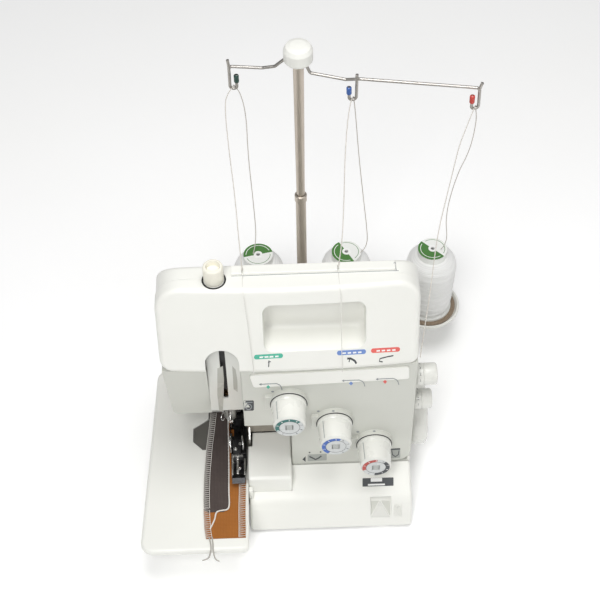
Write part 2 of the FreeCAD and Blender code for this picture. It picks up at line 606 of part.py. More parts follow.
# ==================================================== moving: looper cover
LC = [(-69.4, 49.8), (-104, 33), (-113, 4.6), (-71, 4.6)]
lc_o = prism("YZ", LC, -61.5, arm_r, (("v", (1,), 24), ("hi", None, 2.5), ("lo", None, 2.5)))
lc_i = prism("YZ", [(-65, 46.4), (-71, 46.6), (-102.6, 30.7), (-110.4, 4), (-65, 4)], -59, arm_r - wall, (("v", (2,), 21.5),))
# thumb grip: a wedge-shaped recess, backed by a boss behind the wall
boss = common(prism("YZ", [(-116, 3), (-88, 3), (-88, 42), (-116, 42)], 50.5, 76.4), lc_o)
grip = prism("YZ", [(-140, 12), (-109.9, 14), (-95.5, 34.5), (-140, 34.5)], 53.4, 73.2)
lc = cut(fuse(cut(lc_o, lc_i, box(-70, col_l - 0.6, -91.5, -60, 30, 60)), boss), grip, box(-70, 100, -88, -60, 0, 10.8))
node("looper_cover", fuse(lc, cyl("X", (hinge_y, hinge_z), 2, -60, -44), cyl("X", (hinge_y, hinge_z), 2, 77, arm_r - 1)))
kg = prism("YZ", [(-91.5, 38), (-91.5, 59.5), (-88.5, 61), (-38.5, 61), (-38.5, 50), (-80, 50), (-80, 38)], -62, col_l - 0.6, (("v", (1, 2), 2), ("hi", None, 2), ("lo", None, 2)))
# left rear corner left free for the cutting knife
kg = cut(kg, box(-64, -57.5, -54, -30, 40, 70))
node("knife_guard", kg)

# ===================================================== moving: drive line
node("main_shaft", cyl("X", (shaft_y, shaft_z), shaft_r, -16, 112))
hw = lathe([(shaft_r, 0), (wheel_r - 6, 0), (wheel_r - 1, 2), (wheel_r, 6), (wheel_r, 13), (wheel_r - 2, 16.5), (wheel_r - 6, 18), (wheel_r - 9, 15), (12, 15), (10, 18.6), (shaft_r, 18.6)],
           (arm_r + 0.5, shaft_y, shaft_z), "X")
node("handwheel", hw)
pu = lathe([(shaft_r, 0), (pull_r + 1, 0), (pull_r + 1, 0.6), (pull_r, 0.9), (pull_r, 9.4), (pull_r + 1, 9.7), (pull_r + 1, 10.3), (shaft_r, 10.3)], (29.9, shaft_y, shaft_z), "X")
node("drive_pulley", pu)
node("motor_pulley", lathe([(0, 0), (3, 0), (3, 8), (mpul_r, 8), (mpul_r, 18), (0, 18)], (22.4, mot_y, mot_z), "X"))


def side_dial(c, r, length, label):
    pts = [(0, -14), (3, -14), (3, 0.5), (r - 1.5, 0.5), (r, 2), (r, length - 1.5), (r - 1.5, length), (0, length)]
    node(label, lathe(pts, (arm_r, c[0], c[1]), "X"))


side_dial(SDIAL, sdial_r, 20.5, "stitch_length_dial")
side_dial(DDIAL, ddial_r, 18, "differential_dial")

# tension dials: hollow caps that turn on their studs
for label, (x, z) in zip(("needle_tension_dial", "upper_looper_tension_dial", "lower_looper_tension_dial"), KNOBS):
    pts = [(stud_r + run, 0), (knob_r + 0.6, 0), (knob_r + 0.6, 3), (knob_r - 0.2, 4), (knob_r - 1.2, knob_len - 2), (knob_r - 3.2, knob_len),
           (0, knob_len), (0, knob_len - 3), (stud_r + run, knob_len - 3)]
    node(label, lathe(pts, (x, panel_y - 5.4, z), "Y", True))

# pressure dial on top of the head
node("pressure_dial", lathe([(0, 0), (8.6, 0), (8.6, 16.5), (7.6, 17.5), (5.8, 17.5), (5.2, 9), (0, 9)], (-80.5, -40, arm_top + 0.3)))

# ============================================ moving: presser and needle
node("presser_bar", cyl("Z", (pbar_x, pbar_y), pbar_r, 80, 226))
ft = fuse(prism("XY", [(-79.5, -36), (-78, -62), (-77.5, -90), (-64, -90), (-63, -70), (-63, -6), (-79.5, -6)], bed_top + 2, bed_top + 5, (("v", (2, 3), 3),)),
          prism("YZ", [(-96, bed_top + 7), (-90, bed_top + 2), (-84, bed_top + 2), (-84, bed_top + 5), (-91, bed_top + 9)], -77, -64.5),
          box(-76, -66, -20, -5, bed_top + 4, 88), box(-79.5, -77.9, -50, -20, bed_top + 4, bed_top + 8), box(-68, -63, -64, -20, bed_top + 4, bed_top + 10))
ft = cut(ft, box(-78.6, -75.4, -41, -31, 50, 70), cyl("Z", (pbar_x, pbar_y), pbar_r, 79.9, 95))
node("presser_foot", ft)
ld = prism("YZ", [(-6, 147), (-6, 153), (8, 154), (30, 143), (66, 140), (68, 136), (64, 134), (28, 136), (4, 146)], -73.5, -68.5, (("v", (4, 5, 6), 2),))
node("presser_lifter", fuse(ld, cyl("X", (4, 150), 5, -73.5, -68.5), cyl("X", (4, 150), 2, -88, -68.5)))

node("needle_bar", cyl("Z", (need_x, need_y), bar_r, 97, 224))
node("needle_clamp", lathe([(bar_r, 97), (bar_r, 104), (6, 104), (6, 89), (4.6, 86), (0.9, 86), (0.9, 97)], (need_x, need_y, 0)))
node("needle", lathe([(0, 66), (0.6, 70), (0.6, 84), (0.9, 85), (0.9, 97), (0, 97)], (need_x, need_y, 0)))

# ================================================= moving: below the plate
lo_l = prism("XZ", [(-94, 28), (-90, 28), (-86, 38.5), (-79.5, 43), (-80, 45), (-88, 41)], -32, -29)
node("lower_looper", fuse(lo_l, cyl("Y", (-92, 28), 5, -34, -26), cyl("Y", (-92, 28), 3, -27, 6)))
up_l = prism("XZ", [(-54, 26), (-50, 26), (-52.5, 39), (-56.5, 46), (-58, 46), (-56, 37)], -34, -31)
node("upper_looper", fuse(up_l, cyl("Y", (-52, 26), 5, -35, -26), cyl("Y", (-52, 26), 3, -27, 6)))
node("lower_knife", fuse(box(-62.3, -60.9, -52, -42, 36, bed_top - 0.2), box(-62.3, -60.9, -52, -14, 36, 44)))
uk = prism("YZ", [(-52, 18), (-42, 18), (-42, 76), (-52, 70)], -60.5, -59)
node("upper_knife", fuse(uk, box(-60, -31, -50, -44, 18, 26), cyl("Z", (-34, -47), 3, 18, 43)))
node("feed_dogs", fuse(box(-74, -71, -46, -24, 46, bed_top - 0.2), box(-68, -65, -46, -24, 46, bed_top - 0.2), box(-76, -64.5, -46, -24, 42, 47), box(-76, -72.5, -25, 20, 42, 47)))

# ================================================================ electric
ins = fuse(box(86, arm_r, 36.7, 53.3, 33.2, 46.8), box(arm_r, arm_r + 2, 34, 56, 30, 50))
node("inlet_socket", cut(ins, box(88, 99, 39, 51, 35.5, 44.5)))
swf = cut(fuse(box(86, arm_r, 14.2, 26.8, 33.2, 46.8), box(arm_r, arm_r + 1.6, 12, 29, 31, 49)), box(80, 99, 16, 25, 34.6, 45.4))
node("switch_frame", fuse(swf, cyl("Y", (90.5, 40), 1, 15, 26)))
rk = prism("YZ", [(16.4, 35), (24.6, 35), (24.6, 45), (16.4, 45)], 88.5, arm_r + 1.2)
rk = cut(fuse(rk, prism("XZ", [(91, 35.2), (95.4, 35.8), (93.2, 40), (92.6, 44.6), (91, 44.8)], 16.4, 24.6)), cyl("Y", (90.5, 40), 1 + run, 10, 30))
node("power_switch", rk)

# ------------------------------------------------------------ check, write
doc.recompute()
bad = [o.Name + " " + o.Label for o in doc.Objects if "Invalid" in o.State or "Error" in o.State]
if bad:
    raise RuntimeError("not built: %s" % bad)
for label, o in NODES:
    s = o.Shape
    if s.isNull() or not s.isValid() or not s.Solids:
        raise RuntimeError("bad shape: %s null=%s valid=%s" % (label, s.isNull(), s.isValid()))
os.makedirs("parts", exist_ok=True)
for f in os.listdir("parts"):
    if f.endswith(".step"):
        os.remove(os.path.join("parts", f))
lo = [1e9] * 3
hi = [-1e9] * 3
for label, o in NODES:
    o.Shape.exportStep("parts/%s.step" % label)
    b = o.Shape.BoundBox
    lo = [min(lo[0], b.XMin), min(lo[1], b.YMin), min(lo[2], b.ZMin)]
    hi = [max(hi[0], b.XMax), max(hi[1], b.YMax), max(hi[2], b.ZMax)]
    print("%-28s solids %d  volume %.1f" % (label, len(o.Shape.Solids), o.Shape.Volume))
print("nodes %d  box %s %s" % (len(NODES), [round(v, 2) for v in lo], [round(v, 2) for v in hi]))
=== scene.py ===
import bpy
import bmesh
import json
import math
import random
from mathutils import Matrix, Vector
from mathutils.bvhtree import BVHTree

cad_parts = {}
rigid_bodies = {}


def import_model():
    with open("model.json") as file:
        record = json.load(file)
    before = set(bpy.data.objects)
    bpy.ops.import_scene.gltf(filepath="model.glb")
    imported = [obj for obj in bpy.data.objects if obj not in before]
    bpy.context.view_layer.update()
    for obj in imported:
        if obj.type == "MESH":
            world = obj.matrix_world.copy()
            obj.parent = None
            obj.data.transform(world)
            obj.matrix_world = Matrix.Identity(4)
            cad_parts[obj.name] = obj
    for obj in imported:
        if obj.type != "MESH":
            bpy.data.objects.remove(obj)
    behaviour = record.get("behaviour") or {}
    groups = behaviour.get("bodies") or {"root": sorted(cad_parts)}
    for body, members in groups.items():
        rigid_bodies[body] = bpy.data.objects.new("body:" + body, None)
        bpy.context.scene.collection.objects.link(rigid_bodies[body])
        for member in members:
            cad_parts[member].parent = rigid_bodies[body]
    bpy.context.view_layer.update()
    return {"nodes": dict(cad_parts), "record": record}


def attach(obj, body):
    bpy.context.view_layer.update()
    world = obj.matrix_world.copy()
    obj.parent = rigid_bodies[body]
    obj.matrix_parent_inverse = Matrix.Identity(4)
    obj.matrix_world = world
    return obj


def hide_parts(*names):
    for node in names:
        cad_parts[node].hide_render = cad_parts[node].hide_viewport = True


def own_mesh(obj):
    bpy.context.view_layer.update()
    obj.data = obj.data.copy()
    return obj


# Looks of the overlock sewing machine. Metres, same frame as the construction.
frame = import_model()
NODES = frame["nodes"]
random.seed(7)
sin, cos, pi = math.sin, math.cos, math.pi
MM = 0.001


def V(*p):
    """A point given in millimetres."""
    return Vector(p) * MM


# ------------------------------------------------------------------ camera
PITCH, YAW, ROLL, FOCAL = math.radians(50.0), math.radians(1.0), math.radians(1.2), 1350.0
BACK = Vector((-sin(YAW) * cos(PITCH), -cos(YAW) * cos(PITCH), sin(PITCH)))
FWD = -BACK
_right = FWD.cross(Vector((0, 0, 1))).normalized()
_up = _right.cross(FWD)
RIGHT = _right * cos(ROLL) - _up * sin(ROLL)
UP = _up * cos(ROLL) + _right * sin(ROLL)
EYE = Vector((-0.007, 0.060, 0.141)) + BACK * 1.308
cd = bpy.data.cameras.new("camera")
cd.sensor_width = 36.0
cd.lens = 36.0 * FOCAL / 600.0
cd.clip_start, cd.clip_end = 0.05, 50
cam = bpy.data.objects.new("camera", cd)
bpy.context.scene.collection.objects.link(cam)
M = Matrix.Identity(4)
for i in range(3):
    M[i][0], M[i][1], M[i][2], M[i][3] = RIGHT[i], UP[i], BACK[i], EYE[i]
cam.matrix_world = M
bpy.context.scene.camera = cam


def ray(px, py):
    return (FWD * FOCAL + RIGHT * (px - 300.0) + UP * (300.0 - py)).normalized()


def on_plane(px, py, z):
    """Where the line of sight through a picture point meets a level z (mm)."""
    d = ray(px, py)
    return EYE + d * ((z * MM - EYE.z) / d.z)


_bvh = {}


def tree(node):
    if node not in _bvh:
        o = NODES[node]
        mw = o.matrix_world
        _bvh[node] = BVHTree.FromPolygons([mw @ v.co for v in o.data.vertices], [tuple(p.vertices) for p in o.data.polygons])
    return _bvh[node]


def hit(nodes, px, py):
    best = None
    for n in nodes:
        p, nrm, _, dist = tree(n).ray_cast(EYE, ray(px, py))
        if p is not None and (best is None or dist < best[2]):
            if nrm.dot(FWD) > 0:
                nrm = -nrm
            best = (p, nrm, dist)
    return best


# --------------------------------------------------------------- materials
def lin(h):
    """Linear colour from a hexadecimal screen colour."""
    out = []
    for k in (0, 2, 4):
        c = int(h[k:k + 2], 16) / 255.0
        out.append(c / 12.92 if c <= 0.04045 else ((c + 0.055) / 1.055) ** 2.4)
    return tuple(out)


class Mat:
    """Small helper round one node material."""

    def __init__(self, name):
        self.m = bpy.data.materials.new(name)
        self.m.use_nodes = True
        self.nt = self.m.node_tree
        self.b = self.nt.nodes["Principled BSDF"]
        self.tc = self.n("ShaderNodeTexCoord")

    def n(self, kind, **props):
        x = self.nt.nodes.new(kind)
        for k, v in props.items():
            setattr(x, k, v)
        return x

    def ln(self, a, b):
        self.nt.links.new(a, b)

    def coords(self, scale=(1, 1, 1)):
        mp = self.n("ShaderNodeMapping")
        mp.inputs["Scale"].default_value = scale
        self.ln(self.tc.outputs["Object"], mp.inputs["Vector"])
        return mp.outputs["Vector"]

    def noise(self, scale, detail=3.0, rough=0.55, stretch=(1, 1, 1)):
        t = self.n("ShaderNodeTexNoise")
        t.inputs["Scale"].default_value = scale
        t.inputs["Detail"].default_value = detail
        t.inputs["Roughness"].default_value = rough
        self.ln(self.coords(stretch), t.inputs["Vector"])
        return t.outputs["Fac"]

    def span(self, fac, lo, hi, a=0.3, b=0.7):
        r = self.n("ShaderNodeMapRange")
        r.inputs["From Min"].default_value = a
        r.inputs["From Max"].default_value = b
        r.inputs["To Min"].default_value = lo
        r.inputs["To Max"].default_value = hi
        self.ln(fac, r.inputs["Value"])
        return r.outputs["Result"]

    def mix(self, fac, c1, c2):
        x = self.n("ShaderNodeMix", data_type="RGBA")
        if hasattr(fac, "is_linked"):
            self.ln(fac, x.inputs[0])
        else:
            x.inputs[0].default_value = fac
        for sock, c in ((x.inputs[6], c1), (x.inputs[7], c2)):
            if hasattr(c, "is_linked"):
                self.ln(c, sock)
            else:
                sock.default_value = (*c[:3], 1)
        return x.outputs[2]

    def bump(self, height, strength, dist, normal=None):
        x = self.n("ShaderNodeBump")
        x.inputs["Strength"].default_value = strength
        x.inputs["Distance"].default_value = dist
        self.ln(height, x.inputs["Height"])
        if normal is not None:
            self.ln(normal, x.inputs["Normal"])
        return x.outputs["Normal"]

    def bevel(self, r):
        x = self.n("ShaderNodeBevel", samples=4)
        x.inputs["Radius"].default_value = r
        return x.outputs["Normal"]

    def edge(self, r):
        """0 on flat faces, towards 1 on edges."""
        g = self.n("ShaderNodeNewGeometry")
        d = self.n("ShaderNodeVectorMath", operation="DOT_PRODUCT")
        self.ln(self.bevel(r), d.inputs[0])
        self.ln(g.outputs["Normal"], d.inputs[1])
        return self.span(d.outputs["Value"], 1.0, 0.0, 0.80, 0.985)


def plastic(name, col, rough=0.42, var=0.025, grain=0.06, bevel=0.0007, edge=None, spec=0.45, coat=0.0, gscale=1500):
    k = Mat(name)
    dark = tuple(c * (1 - var) for c in col)
    lite = tuple(min(1, c * (1 + var)) for c in col)
    base = k.mix(k.span(k.noise(14, 4), 0, 1), dark, lite)
    if edge:
        base = k.mix(k.edge(bevel * 1.6), base, edge)
    k.ln(base, k.b.inputs["Base Color"])
    k.ln(k.span(k.noise(60, 3), rough - 0.06, rough + 0.06), k.b.inputs["Roughness"])
    k.b.inputs["Specular IOR Level"].default_value = spec
    if coat:
        k.b.inputs["Coat Weight"].default_value = coat
        k.b.inputs["Coat Roughness"].default_value = 0.12
    nrm = k.bevel(bevel) if bevel else None
    k.ln(k.bump(k.noise(gscale, 2), grain, 0.0002, nrm), k.b.inputs["Normal"])
    return k.m


def metal(name, col, rough=0.3, stretch=(1, 1, 1), var=0.12, bevel=0.0004, scale=900, bump=0.08, spots=None):
    k = Mat(name)
    fine = k.noise(scale, 3, 0.6, stretch)
    base = k.mix(k.span(fine, 0, 1), tuple(c * (1 - var) for c in col), tuple(min(1, c * (1 + var)) for c in col))
    if spots:
        base = k.mix(k.span(k.noise(90, 5), 0, 0.6, 0.52, 0.7), base, spots)
    base = k.mix(k.edge(bevel * 1.5), base, tuple(min(1, c * 1.35 + 0.03) for c in col))
    k.ln(base, k.b.inputs["Base Color"])
    k.b.inputs["Metallic"].default_value = 1.0
    k.ln(k.span(k.noise(scale * 0.5, 3, 0.6, stretch), rough - 0.09, rough + 0.09), k.b.inputs["Roughness"])
    k.ln(k.bump(fine, bump, 0.0001, k.bevel(bevel)), k.b.inputs["Normal"])
    return k.m


def yarn(name, col, pitch=0.0009, axis="Z", fuzz=0.25):
    """Wound or sewn thread: fine parallel lines with a soft sheen."""
    k = Mat(name)
    w = k.n("ShaderNodeTexWave", wave_type="BANDS", bands_direction=axis)
    w.inputs["Scale"].default_value = 0.314 / pitch / 2
    w.inputs["Distortion"].default_value = 1.2
    w.inputs["Detail"].default_value = 2
    w.inputs["Detail Scale"].default_value = 3
    k.ln(k.tc.outputs["Object"], w.inputs["Vector"])
    base = k.mix(k.span(w.outputs["Fac"], 0, 1, 0, 1), tuple(c * 0.90 for c in col), col)
    base = k.mix(k.span(k.noise(45, 4), 0, 0.5), base, tuple(c * 0.93 for c in col))
    k.ln(base, k.b.inputs["Base Color"])
    k.b.inputs["Roughness"].default_value = 0.62
    k.b.inputs["Sheen Weight"].default_value = fuzz
    k.b.inputs["Specular IOR Level"].default_value = 0.3
    k.ln(k.bump(w.outputs["Fac"], 0.25, 0.0002), k.b.inputs["Normal"])
    return k.m


def woven(name, col, col2, pitch=0.0007):
    """Plain weave with two thread directions, slubs and a little nap."""
    k = Mat(name)
    waves = []
    for d in ("X", "Y"):
        w = k.n("ShaderNodeTexWave", wave_type="BANDS", bands_direction=d)
        w.inputs["Scale"].default_value = 0.314 / pitch / 2
        w.inputs["Distortion"].default_value = 0.8
        w.inputs["Detail"].default_value = 2
        k.ln(k.tc.outputs["Object"], w.inputs["Vector"])
        waves.append(w.outputs["Fac"])
    mul = k.n("ShaderNodeMath", operation="MULTIPLY")
    k.ln(waves[0], mul.inputs[0])
    k.ln(waves[1], mul.inputs[1])
    base = k.mix(k.span(mul.outputs[0], 0, 1, 0, 1), col, col2)
    base = k.mix(k.span(k.noise(70, 5), 0, 0.55), base, tuple(c * 0.82 for c in col))
    k.ln(base, k.b.inputs["Base Color"])
    k.b.inputs["Roughness"].default_value = 0.85
    k.b.inputs["Sheen Weight"].default_value = 0.35
    k.b.inputs["Specular IOR Level"].default_value = 0.2
    k.ln(k.bump(mul.outputs[0], 0.5, 0.0003, k.bump(k.noise(25, 3), 0.3, 0.001)), k.b.inputs["Normal"])
    return k.m


def felted(name, col):
    k = Mat(name)
    base = k.mix(k.span(k.noise(420, 6, 0.7), 0, 1), tuple(c * 0.75 for c in col), tuple(min(1, c * 1.25) for c in col))
    k.ln(base, k.b.inputs["Base Color"])
    k.b.inputs["Roughness"].default_value = 0.95
    k.b.inputs["Sheen Weight"].default_value = 0.5
    k.ln(k.bump(k.noise(700, 5, 0.7), 0.7, 0.0005), k.b.inputs["Normal"])
    return k.m


WHITE = plastic("casing_white", lin("EBEBE5"), 0.38, var=0.012, grain=0.05, bevel=0.0009, edge=lin("F4F4EF"))
# painted shade: a darker copy of the white casing plastic for the upright dial panel and face cover, which get less
# light
PANEL_PAINTED_SHADE = plastic("panel_white_painted_shade", lin("D0D1C9"), 0.44, var=0.015, grain=0.07, bevel=0.0009, edge=lin("E4E4DE"))
WINDOW = plastic("window_grey", lin("DADBD5"), 0.18, var=0.02, grain=0.03, bevel=0.0008, coat=0.5)
DIAL = plastic("dial_white", lin("E0E0DA"), 0.28, var=0.01, grain=0.02, bevel=0.0009, coat=0.35, spec=0.5)
CREAM = plastic("dial_cream", lin("EDEADD"), 0.45, var=0.03, grain=0.08, bevel=0.0003)
GREY = plastic("plate_grey", lin("5F5D58"), 0.40, var=0.05, grain=0.10, bevel=0.0005, edge=lin("9A9894"))
BLACK = plastic("moulded_black", lin("1B1B1C"), 0.42, var=0.15, grain=0.12, bevel=0.0005, edge=lin("3A3A3B"))
RUBBER = plastic("rubber_black", lin("222222"), 0.75, var=0.12, grain=0.25, bevel=0.0008, spec=0.25)
STEEL = metal("steel_ground", lin("B9B8B5"), 0.30, (1, 1, 0.12))
CHROME = metal("chrome_bright", lin("D6D6D4"), 0.14, var=0.05, bump=0.03)
WIRE = metal("wire_steel", lin("B4B0AB"), 0.42, var=0.08, scale=500)
MAST = metal("mast_steel", lin("CBC1B5"), 0.46, (1, 1, 0.05), var=0.10, scale=1300)
CAST = metal("casting_grey", lin("9A9B9C"), 0.55, var=0.15, scale=300, bump=0.35, spots=lin("7A7B7C"))
BRONZE = metal("bush_bronze", lin("B58E5A"), 0.42, var=0.2, scale=700, bump=0.2)
FOOT = metal("foot_dark", lin("3A3A3B"), 0.34, (1, 0.3, 1), var=0.35, scale=500, spots=lin("161616"))
FELT = felted("felt_taupe", lin("8B7A66"))
# painted shade: the white thread is coloured grey so the thin strands read as shaded
THREAD_PAINTED_SHADE = yarn("thread_white_painted_shade", lin("D0CBC3"), 0.0012)
# painted shade, lighter: the same white thread in a paler grey, for the two front threads
THREAD_PAINTED_LIGHTER_SHADE = yarn("front_thread_painted_lighter_shade", lin("E6E3DE"), 0.0012)
WOUND = yarn("wound_white", lin("EFEFED"), 0.0007)
STITCH = yarn("stitch_white", lin("E9E6DF"), 0.0006, "X")
CLOTH_D = woven("cloth_grey_brown", lin("493F3C"), lin("5A504B"))
CLOTH_O = woven("cloth_orange", lin("9A5E25"), lin("B06F30"))
INK = plastic("print_dark", lin("44474A"), 0.5, var=0.06, grain=0.02, bevel=0)
INK_L = plastic("print_grey", lin("8F9496"), 0.5, var=0.04, grain=0.02, bevel=0)
TEAL = plastic("print_teal", lin("4FB69B"), 0.45, var=0.05, grain=0.02, bevel=0)
BLUE = plastic("print_blue", lin("6C8CC8"), 0.45, var=0.05, grain=0.02, bevel=0)
RED = plastic("print_red", lin("E0655C"), 0.45, var=0.05, grain=0.02, bevel=0)
LABEL_G = plastic("label_green", lin("4E8040"), 0.5, var=0.06, grain=0.04, bevel=0)
LABEL_W = plastic("label_white", lin("EDEEEA"), 0.5, var=0.02, grain=0.04, bevel=0)
SILVER = plastic("face_silver", lin("C9CCCB"), 0.28, var=0.05, grain=0.03, bevel=0, coat=0.3)
PRINTW = plastic("print_white", lin("F4F4F2"), 0.5, var=0.02, grain=0.02, bevel=0)
# painted light: a lighter copy of the white casing plastic for the tension guide plate and knife guard, brightened
# against the shadow of the head above them
PLATE_PAINTED_LIGHT = plastic("plate_white_painted_light", lin("F3F3ED"), 0.42, var=0.004, grain=0.03, bevel=0.0009)
# painted shade: a darker grey for the shaded zones of the glossy needle window
WINDOW_PAINTED_SHADE = plastic("window_painted_shade", lin("B2B2AA"), 0.25, var=0.05, grain=0.02, bevel=0, coat=0.4)
PLATE_G = plastic("print_plate", lin("A6A9A4"), 0.45, var=0.04, grain=0.02, bevel=0)
TEAL_D = plastic("print_teal_dark", lin("2F6E68"), 0.45, var=0.05, grain=0.02, bevel=0)
BLUE_D = plastic("print_blue_dark", lin("3B63B2"), 0.45, var=0.05, grain=0.02, bevel=0)
RED_D = plastic("print_red_dark", lin("B8483F"), 0.45, var=0.05, grain=0.02, bevel=0)
TIP_G = plastic("tip_green", lin("2B4A42"), 0.35, var=0.05, grain=0.03, bevel=0.0003)
TIP_B = plastic("tip_blue", lin("3F64A8"), 0.35, var=0.05, grain=0.03, bevel=0.0003)
TIP_R = plastic("tip_red", lin("C6443C"), 0.35, var=0.05, grain=0.03, bevel=0.0003)

BY_SLOT = {"white_casing": WHITE, "white_dial": DIAL, "cream_dial": CREAM, "grey_plastic": GREY, "black_plastic": BLACK, "rubber": RUBBER, "steel": STEEL,
           "chrome": CHROME, "casting": CAST, "bronze": BRONZE, "mast_grey": MAST, "tip_green": TIP_G, "felt": FELT, "thread": THREAD_PAINTED_SHADE, "cloth": CLOTH_D,
           "core_green": LABEL_W}
BY_NODE = {"tension_guide_plate": PLATE_PAINTED_LIGHT, "knife_guard": PLATE_PAINTED_LIGHT, "dial_panel": PANEL_PAINTED_SHADE, "face_cover": PANEL_PAINTED_SHADE, "needle_window": WINDOW, "presser_foot": FOOT, "guide_wires": WIRE, "needle_bar": STEEL, "thread_windings": WOUND}
for sp in frame["record"]["subparts"]:
    o = NODES[sp["node"]]
    m = BY_NODE.get(sp["node"], BY_SLOT[sp["material_slot"]])
    if not o.material_slots:
        o.data.materials.append(m)
    for s in o.material_slots:
        s.material = m


# ------------------------------------------------------------ mesh helpers
def add(name, verts, faces, material, body, angle=35, smooth=True):
    me = bpy.data.meshes.new(name)
    me.from_pydata([tuple(v) for v in verts], [], faces)
    bm = bmesh.new()
    bm.from_mesh(me)
    bmesh.ops.remove_doubles(bm, verts=bm.verts, dist=1e-7)
    bmesh.ops.dissolve_degenerate(bm, dist=1e-7, edges=bm.edges)
    bmesh.ops.recalc_face_normals(bm, faces=bm.faces)
    bm.to_mesh(me)
    bm.free()
    me.validate()
    if smooth:
        me.shade_smooth()
        me.set_sharp_from_angle(angle=math.radians(angle))
    for m in (material if isinstance(material, (list, tuple)) else [material]):
        me.materials.append(m)
    o = bpy.data.objects.new(name, me)
    bpy.context.scene.collection.objects.link(o)
    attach(o, body)
    return o


def frame_of(axis):
    """Unit vectors (u, v, w): w is the axis of turning."""
    return {"Z": (Vector((1, 0, 0)), Vector((0, 1, 0)), Vector((0, 0, 1))),
            "X": (Vector((0, 1, 0)), Vector((0, 0, 1)), Vector((1, 0, 0))),
            "-Y": (Vector((1, 0, 0)), Vector((0, 0, 1)), Vector((0, -1, 0)))}[axis]


def lathe(name, prof, pos, axis, material, body, seg=96, mod=None, angle=35):
    """Turned piece; prof is (radius, height) in mm along the axis, closed on itself."""
    u, v, w = frame_of(axis)
    c = V(*pos)
    verts, faces = [], []
    k = len(prof)
    for i in range(seg):
        a = 2 * pi * i / seg
        for r, h in prof:
            rr = mod(r, a, h) if mod else r
            verts.append(c + (u * cos(a) + v * sin(a)) * (rr * MM) + w * (h * MM))
    for i in range(seg):
        j = (i + 1) % seg
        for q in range(k):
            p = (q + 1) % k
            if prof[q][0] < 1e-6 and prof[p][0] < 1e-6:
                continue
            faces.append((i * k + q, j * k + q, j * k + p, i * k + p))
    return add(name, verts, faces, material, body, angle)


def tube_mesh(pts, r, seg=8):
    """Vertices and faces of a round tube along points (metres)."""
    verts, faces = [], []
    n = len(pts)
    nrm = None
    for i, p in enumerate(pts):
        t = (pts[min(i + 1, n - 1)] - pts[max(i - 1, 0)]).normalized()
        if nrm is None:
            nrm = t.orthogonal().normalized()
        else:
            nrm = (nrm - t * nrm.dot(t)).normalized()
        b = t.cross(nrm)
        for k in range(seg):
            a = 2 * pi * k / seg
            verts.append(p + (nrm * cos(a) + b * sin(a)) * r)
    for i in range(n - 1):
        for k in range(seg):
            j = (k + 1) % seg
            faces.append((i * seg + k, i * seg + j, (i + 1) * seg + j, (i + 1) * seg + k))
    faces.append(tuple(range(seg)))
    faces.append(tuple((n - 1) * seg + k for k in range(seg)))
    return verts, faces


def joined(parts):
    verts, faces = [], []
    for vv, ff in parts:
        o = len(verts)
        verts += list(vv)
        faces += [tuple(i + o for i in f) for f in ff]
    return verts, faces


def nurbs(route):
    """Points along one smooth spline that has the route (metres) as its control points."""
    c = bpy.data.curves.new("line", "CURVE")
    c.dimensions = "3D"
    c.resolution_u = 24
    s = c.splines.new("NURBS")
    s.points.add(len(route) - 1)
    for q, p in zip(s.points, route):
        q.co = (*p, 1.0)
    s.order_u = 3
    s.use_endpoint_u = True
    o = bpy.data.objects.new("line", c)
    bpy.context.scene.collection.objects.link(o)
    bpy.context.view_layer.update()
    me = bpy.data.meshes.new_from_object(o)
    pts = [v.co.copy() for v in me.vertices]
    bpy.data.objects.remove(o)
    bpy.data.curves.remove(c)
    bpy.data.meshes.remove(me)
    return pts


def box_mesh(x0, x1, y0, y1, z0, z1, ch=0.0):
    """A block with small flats along all its edges."""
    if ch <= 0:
        v = [V(x, y, z) for x in (x0, x1) for y in (y0, y1) for z in (z0, z1)]
        return v, [(0, 1, 3, 2), (4, 6, 7, 5), (0, 4, 5, 1), (2, 3, 7, 6), (0, 2, 6, 4), (1, 5, 7, 3)]
    bm = bmesh.new()
    bmesh.ops.create_cube(bm, size=1.0)
    for q in bm.verts:
        q.co = V((x0 + x1) / 2 + q.co.x * (x1 - x0), (y0 + y1) / 2 + q.co.y * (y1 - y0), (z0 + z1) / 2 + q.co.z * (z1 - z0))
    bmesh.ops.bevel(bm, geom=list(bm.edges), offset=ch * MM, segments=2, affect="EDGES", profile=0.5)
    bm.verts.index_update()
    out = ([q.co.copy() for q in bm.verts], [tuple(x.index for x in f.verts) for f in bm.faces])
    bm.free()
    return out


def flat_shape(loop, n, depth):
    """A thin solid: the loop (metres) is its top edge, n its outward side."""
    k = len(loop)
    verts = list(loop) + [p - q * depth for p, q in zip(loop, n)]
    faces = [tuple(range(k)), tuple(range(2 * k - 1, k - 1, -1))]
    faces += [(i, (i + 1) % k, k + (i + 1) % k, k + i) for i in range(k)]
    return verts, faces


def fine(loop, step=1.5):
    out = []
    for a, b in zip(loop, loop[1:] + loop[:1]):
        m = max(1, int(math.dist(a, b) / step))
        out += [(a[0] + (b[0] - a[0]) * i / m, a[1] + (b[1] - a[1]) * i / m) for i in range(m)]
    return out


def decal(name, nodes, loops, material, body, lift=0.07):
    """Thin printed or raised shapes that lie on a casing face; loops are picture points."""
    parts = []
    for loop in loops:
        top, nn, last = [], [], None
        pts = fine(loop)
        first = next((k for k, q in enumerate(pts) if hit(nodes, *q)), None)
        if first is None:
            continue
        for px, py in pts[first:] + pts[:first]:
            h = hit(nodes, px, py)
            if h is None:
                d = ray(px, py)
                h = (EYE + d * ((last[0] - EYE).dot(last[1]) / d.dot(last[1])), last[1], 0)
            last = h
            top.append(h[0] + h[1] * (lift * MM))
            nn.append(h[1])
        parts.append(flat_shape(top, nn, (lift + 0.05) * MM))
    if not parts:
        return None
    v, f = joined(parts)
    return add(name, v, f, material, body, smooth=False)


